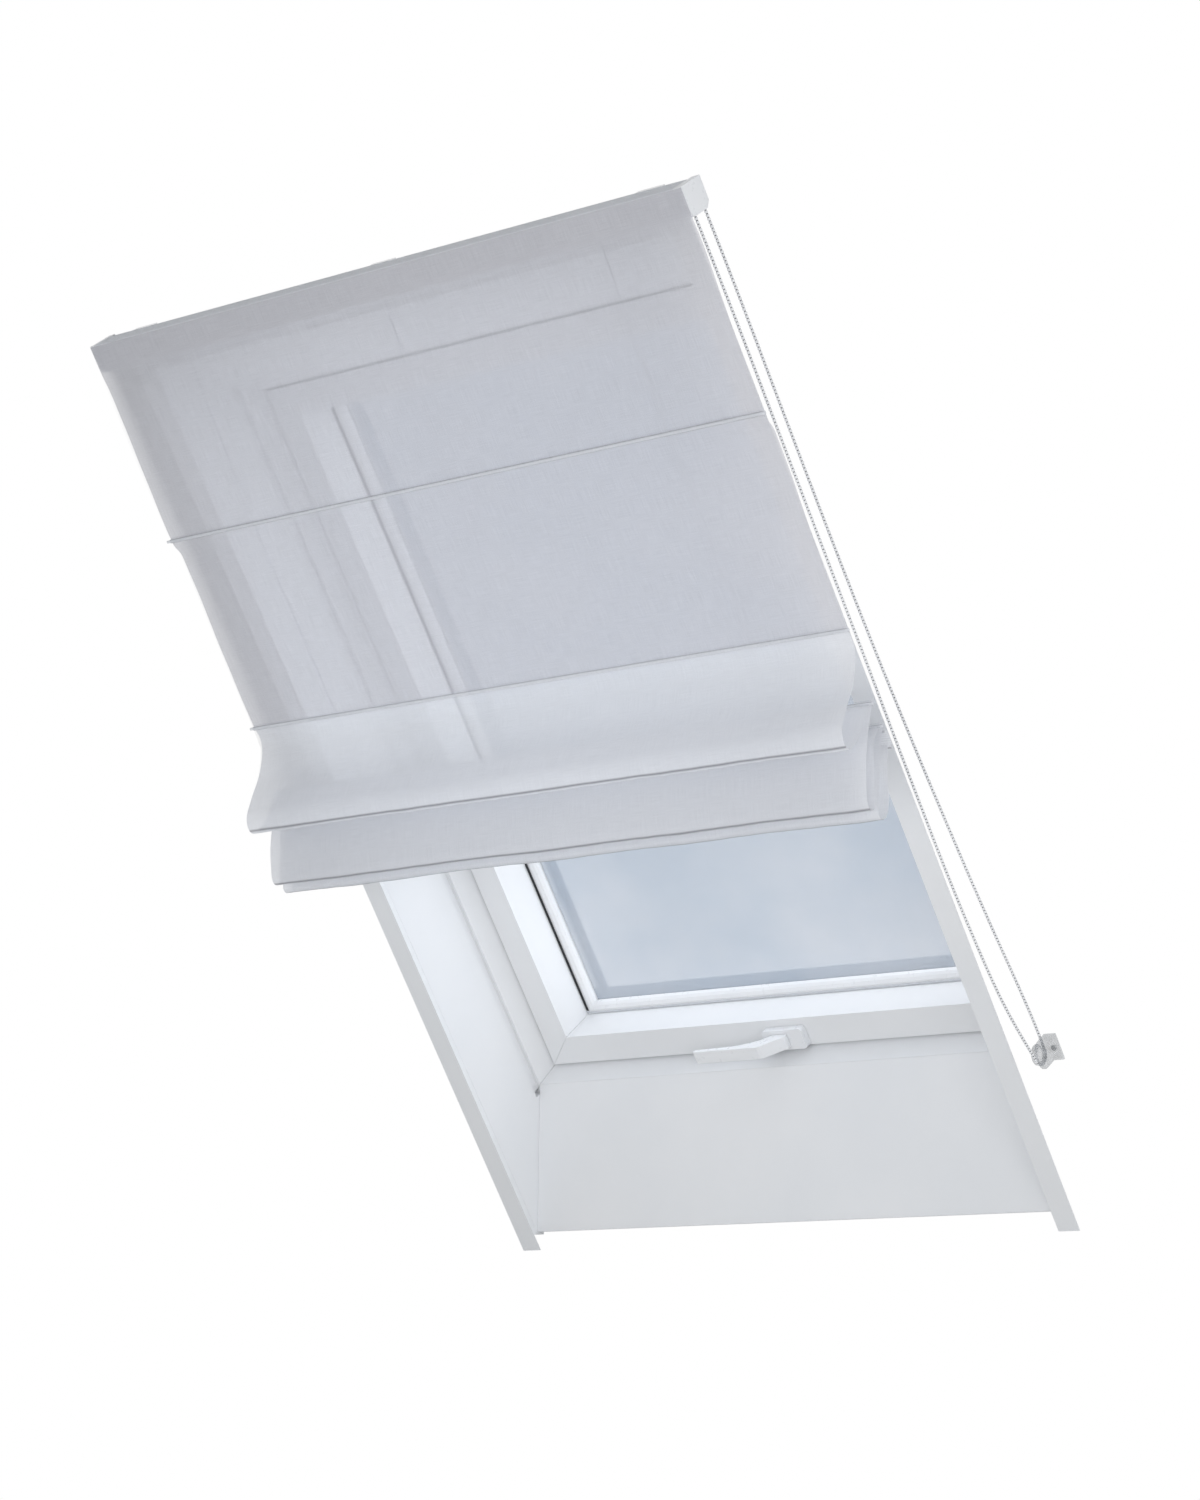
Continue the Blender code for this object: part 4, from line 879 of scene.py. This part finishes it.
def top_wrap():
    """The fabric's upper edge, laid over the top of the headrail between its end caps."""
    low, high = WRAP_ENDS
    verts, coordinates = [], []
    for down, out in TOP_WRAP:
        for column in range(WRAP_COLUMNS):
            x = low + (high - low) * column / (WRAP_COLUMNS - 1)
            verts.append(slope(x, down, out))
            coordinates.append((x * MM, (out - TOP_WRAP[-1][1]) * -MM))
    piece = new_piece(
        "cloth_top_wrap",
        verts,
        grid_faces(len(TOP_WRAP) - 1, WRAP_COLUMNS),
        POCKET_CLOTH,
        coordinates=coordinates,
        crease_shades=[0.0] * len(verts),
    )
    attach(piece, "window_frame")
    return piece


def make_tunnels():
    """Rod tunnels and hem with their cord rings; what is sewn below each span comes back."""
    sewn = []
    for index, (rod, body) in enumerate(zip(RODS, ROD_BODIES), 1):
        tunnel = pocket(f"rod_pocket_{index}", rod, TUNNEL_HALF, body)
        sewn.append([tunnel, stitches(f"rod_stitches_{index}", rod, ROD_SEAM, body)])
        cord_rings(f"cord_rings_{index}", rod[0], rod[1] + ROD_RING, body)
    hem = pocket("hem_pocket", BAR, HEM_HALF, "bottom_bar")
    sewn.append([hem, stitches("hem_stitches", BAR, HEM_SEAM, "bottom_bar")])
    cord_rings("cord_rings_5", BAR[0], BAR[1] + BAR_RING, "bottom_bar")
    return sewn


def make_fabric():
    """Each span runs from the tunnel above it to its own, and the first one from the headrail."""
    sewn = make_tunnels()
    centres = (*RODS, BAR)
    start = CLOTH_TOP
    for span, (centre, below) in enumerate(zip(centres, sewn)):
        middle = SPANS[span][2]
        if span:
            start = rim(centres[span - 1], TUNNEL_HALF, middle[0])
        end = rim(centre, TUNNEL_HALF if centre in RODS else HEM_HALF, middle[-1])
        cloth_span(span, start, end, () if span else [top_wrap()])


make_fabric()


# Floor, ceiling, light

FLOOR_LEVEL = -2.3
AMBIENT = 0.46
FLOOR_SIDE = 12.0
CEILING_LEVEL = 1.0
SHADE_LEVEL = 0.5
SHADE_REACH = 0.3
CEILING_SHADE = (0.31, 0.315, 0.33)
BOARD = (0.85, 0.85, 0.85, 1.0)
BOARD_SHADE = (0.4, 0.4, 0.41, 1.0)
SHADE_COVER = (0.70, 0.87)
FLOOR_WHITE = 0.6
# down and out of points along the cloth's left side, from the headrail to the first gathered fold
CLOTH_SIDE = (
    (-20.5, -44), (20, -45.2), (60, -46.5), (150, -50), (271.5, -52), (285, -44), (300, -43.5), (400, -48),
    (565.6, -52), (595, -54), (609, -64), (623, -78), (634, -93), (642, -107), (651, -121), (661, -135),
    (673, -142),
)
SHADE_MARGIN = 2.9
# x and down of the shade's other points: below the gathered folds, then round the opening
SHADE_REST = (
    (-664, 748), (-641, 752), (-636, 833), (-628, 850), (-488, 850), (-488, 14), (468, 14), (468, -11),
)
LINED_OPENING = ((-488, 14), (472, 14), (472, 1450.5), (-488, 1450.5))
CEILING_EDGE = ((-708, -206), (692, -206), (692, 1480), (-708, 1480))
WINDOW_CENTRE = (-8, 703.5)
COOL_WHITE = (0.965, 0.975, 1.0)
LAMPS = (
    # name, place, target, width and height in metres, watts, tint
    ("side_lamp", (4.6, -0.5, 0.2), (0, 0.35, -0.5), (2.4, 2.4), 22, COOL_WHITE),
    ("corner_lamp", slope(2400, 300, -2000), slope(0, 600, 0), (1.6, 1.6), 20, COOL_WHITE),
    ("room_lamp", slope(0, 560, -1100), slope(0, 560, 0), (0.8, 0.8), 3.7, COOL_WHITE),
    (
        "window_lamp", slope(*WINDOW_CENTRE, 246.5), slope(*WINDOW_CENTRE, 0), (0.74, 0.985), 2.7,
        (0.95, 0.97, 1.0),
    ),
)


def seen_directly(tree):
    """1 for camera, glossy and transmission rays, 0 for the rays that light the object."""
    path = tree.nodes.new("ShaderNodeLightPath")
    found = path.outputs["Is Camera Ray"]
    for name in ("Is Glossy Ray", "Is Transmission Ray"):
        found = computed(tree, "MAXIMUM", found, path.outputs[name])
    return found


def make_world():
    world = bpy.data.worlds.new("studio")
    world.use_nodes = True
    tree = world.node_tree
    tree.nodes.clear()
    lit = node(tree, "ShaderNodeBackground", Color=(0.97, 0.985, 1.0, 1.0), Strength=AMBIENT)
    white = node(tree, "ShaderNodeBackground", Color=(1, 1, 1, 1), Strength=1.0)
    mix = mixed(tree, seen_directly(tree), lit, white)
    tree.links.new(mix.outputs[0], tree.nodes.new("ShaderNodeOutputWorld").inputs[0])
    bpy.context.scene.world = world


def white_glow(tree):
    return node(tree, "ShaderNodeEmission", Color=(1, 1, 1, 1), Strength=1.0)


def clear_from_behind(tree, front):
    """A shader that is there on the front of a face only."""
    behind = tree.nodes.new("ShaderNodeNewGeometry").outputs["Backfacing"]
    return mixed(tree, behind, front, tree.nodes.new("ShaderNodeBsdfTransparent"))


def floor_finish():
    """A pale floor that can be looked through from below, where most of this window is seen from."""
    made, tree, shader = new_material("floor_finish", (0.86, 0.86, 0.86), 0.8)
    tinted(tree, shader, grain(tree, 2.0, 5.0), (0.85, 0.85, 0.85), (0.87, 0.87, 0.87))
    share = computed(tree, "MULTIPLY", seen_directly(tree), FLOOR_WHITE)
    whole = clear_from_behind(tree, mixed(tree, share, shader, white_glow(tree)))
    tree.links.new(whole.outputs[0], tree.nodes["Material Output"].inputs["Surface"])
    return made


def make_floor():
    side = FLOOR_SIDE
    verts = [(-side, -side, 0), (side, -side, 0), (side, side, 0), (-side, side, 0)]
    floor = new_piece("floor", verts, [(0, 1, 2, 3)], floor_finish(), smooth=False)
    floor.location.z = FLOOR_LEVEL


def ceiling_finish(name, shaded):
    """White where it is looked at from the room, and not there at all from behind.

    It stops light as board does. A shaded one turns grey where the blind hangs close in front of it.
    """
    made = bpy.data.materials.new(name)
    made.use_nodes = True
    tree = made.node_tree
    tree.nodes.clear()
    white = white_glow(tree)
    if shaded:
        covered = node(tree, "ShaderNodeAmbientOcclusion", Distance=SHADE_REACH)
        covered.samples = 32
        shade = spread(tree, covered.outputs["AO"], 1, 0, *SHADE_COVER)
        tree.links.new(blended(tree, shade, (1.0, 1.0, 1.0), CEILING_SHADE), white.inputs["Color"])
    board = node(tree, "ShaderNodeBsdfDiffuse", Color=BOARD_SHADE if shaded else BOARD)
    mix = mixed(tree, seen_directly(tree), board, clear_from_behind(tree, white))
    tree.links.new(mix.outputs[0], tree.nodes.new("ShaderNodeOutputMaterial").inputs[0])
    return made


def past_cloth_side(down, out):
    """x and down on the ceiling, 3 mm past a point of the cloth's left side seen from the photo's place.

    The shade is cut off there because the ceiling beside the blind is plain white in the photo.
    """
    place = Vector(CAMERA_PLACE)
    way = slope(-CLOTH_HALF, down, out) - place
    spot = place + way * (((SHADE_LEVEL + SHADE_MARGIN) * MM - place.dot(OUT)) / way.dot(OUT))
    return spot.x / MM, spot.dot(DOWN) / MM


def make_ceiling():
    """A collar of ceiling round the lined opening, and the part of it in the blind's shade."""
    verts = [slope(x, down, CEILING_LEVEL) for x, down in LINED_OPENING + CEILING_EDGE]
    faces = [(index, (index + 1) % 4, 4 + (index + 1) % 4, 4 + index) for index in range(4)]
    new_piece("ceiling", verts, faces, ceiling_finish("ceiling_finish", False), smooth=False)
    outline = [past_cloth_side(*point) for point in CLOTH_SIDE] + list(SHADE_REST)
    edge = [slope(x, down, SHADE_LEVEL) for x, down in outline]
    shaded = ceiling_finish("shaded_ceiling_finish", True)
    new_piece("ceiling_in_shade", edge, [tuple(range(len(edge)))], shaded, smooth=False)


def make_lamp(name, place, target, size, power, tint):
    """A rectangular lamp that lights the object and is itself never seen."""
    data = bpy.data.lights.new(name, "AREA")
    data.shape = "RECTANGLE"
    data.size = size[0]
    data.size_y = size[1]
    data.energy = power
    data.color = tint
    made = bpy.data.objects.new(name, data)
    made.location = place
    made.rotation_euler = (Vector(target) - Vector(place)).to_track_quat("-Z", "Y").to_euler()
    made.visible_camera = False
    made.visible_glossy = False
    made.visible_transmission = False
    bpy.context.scene.collection.objects.link(made)


make_world()
make_floor()
make_ceiling()
for lamp in LAMPS:
    make_lamp(*lamp)

bpy.context.scene.view_settings.view_transform = "Standard"
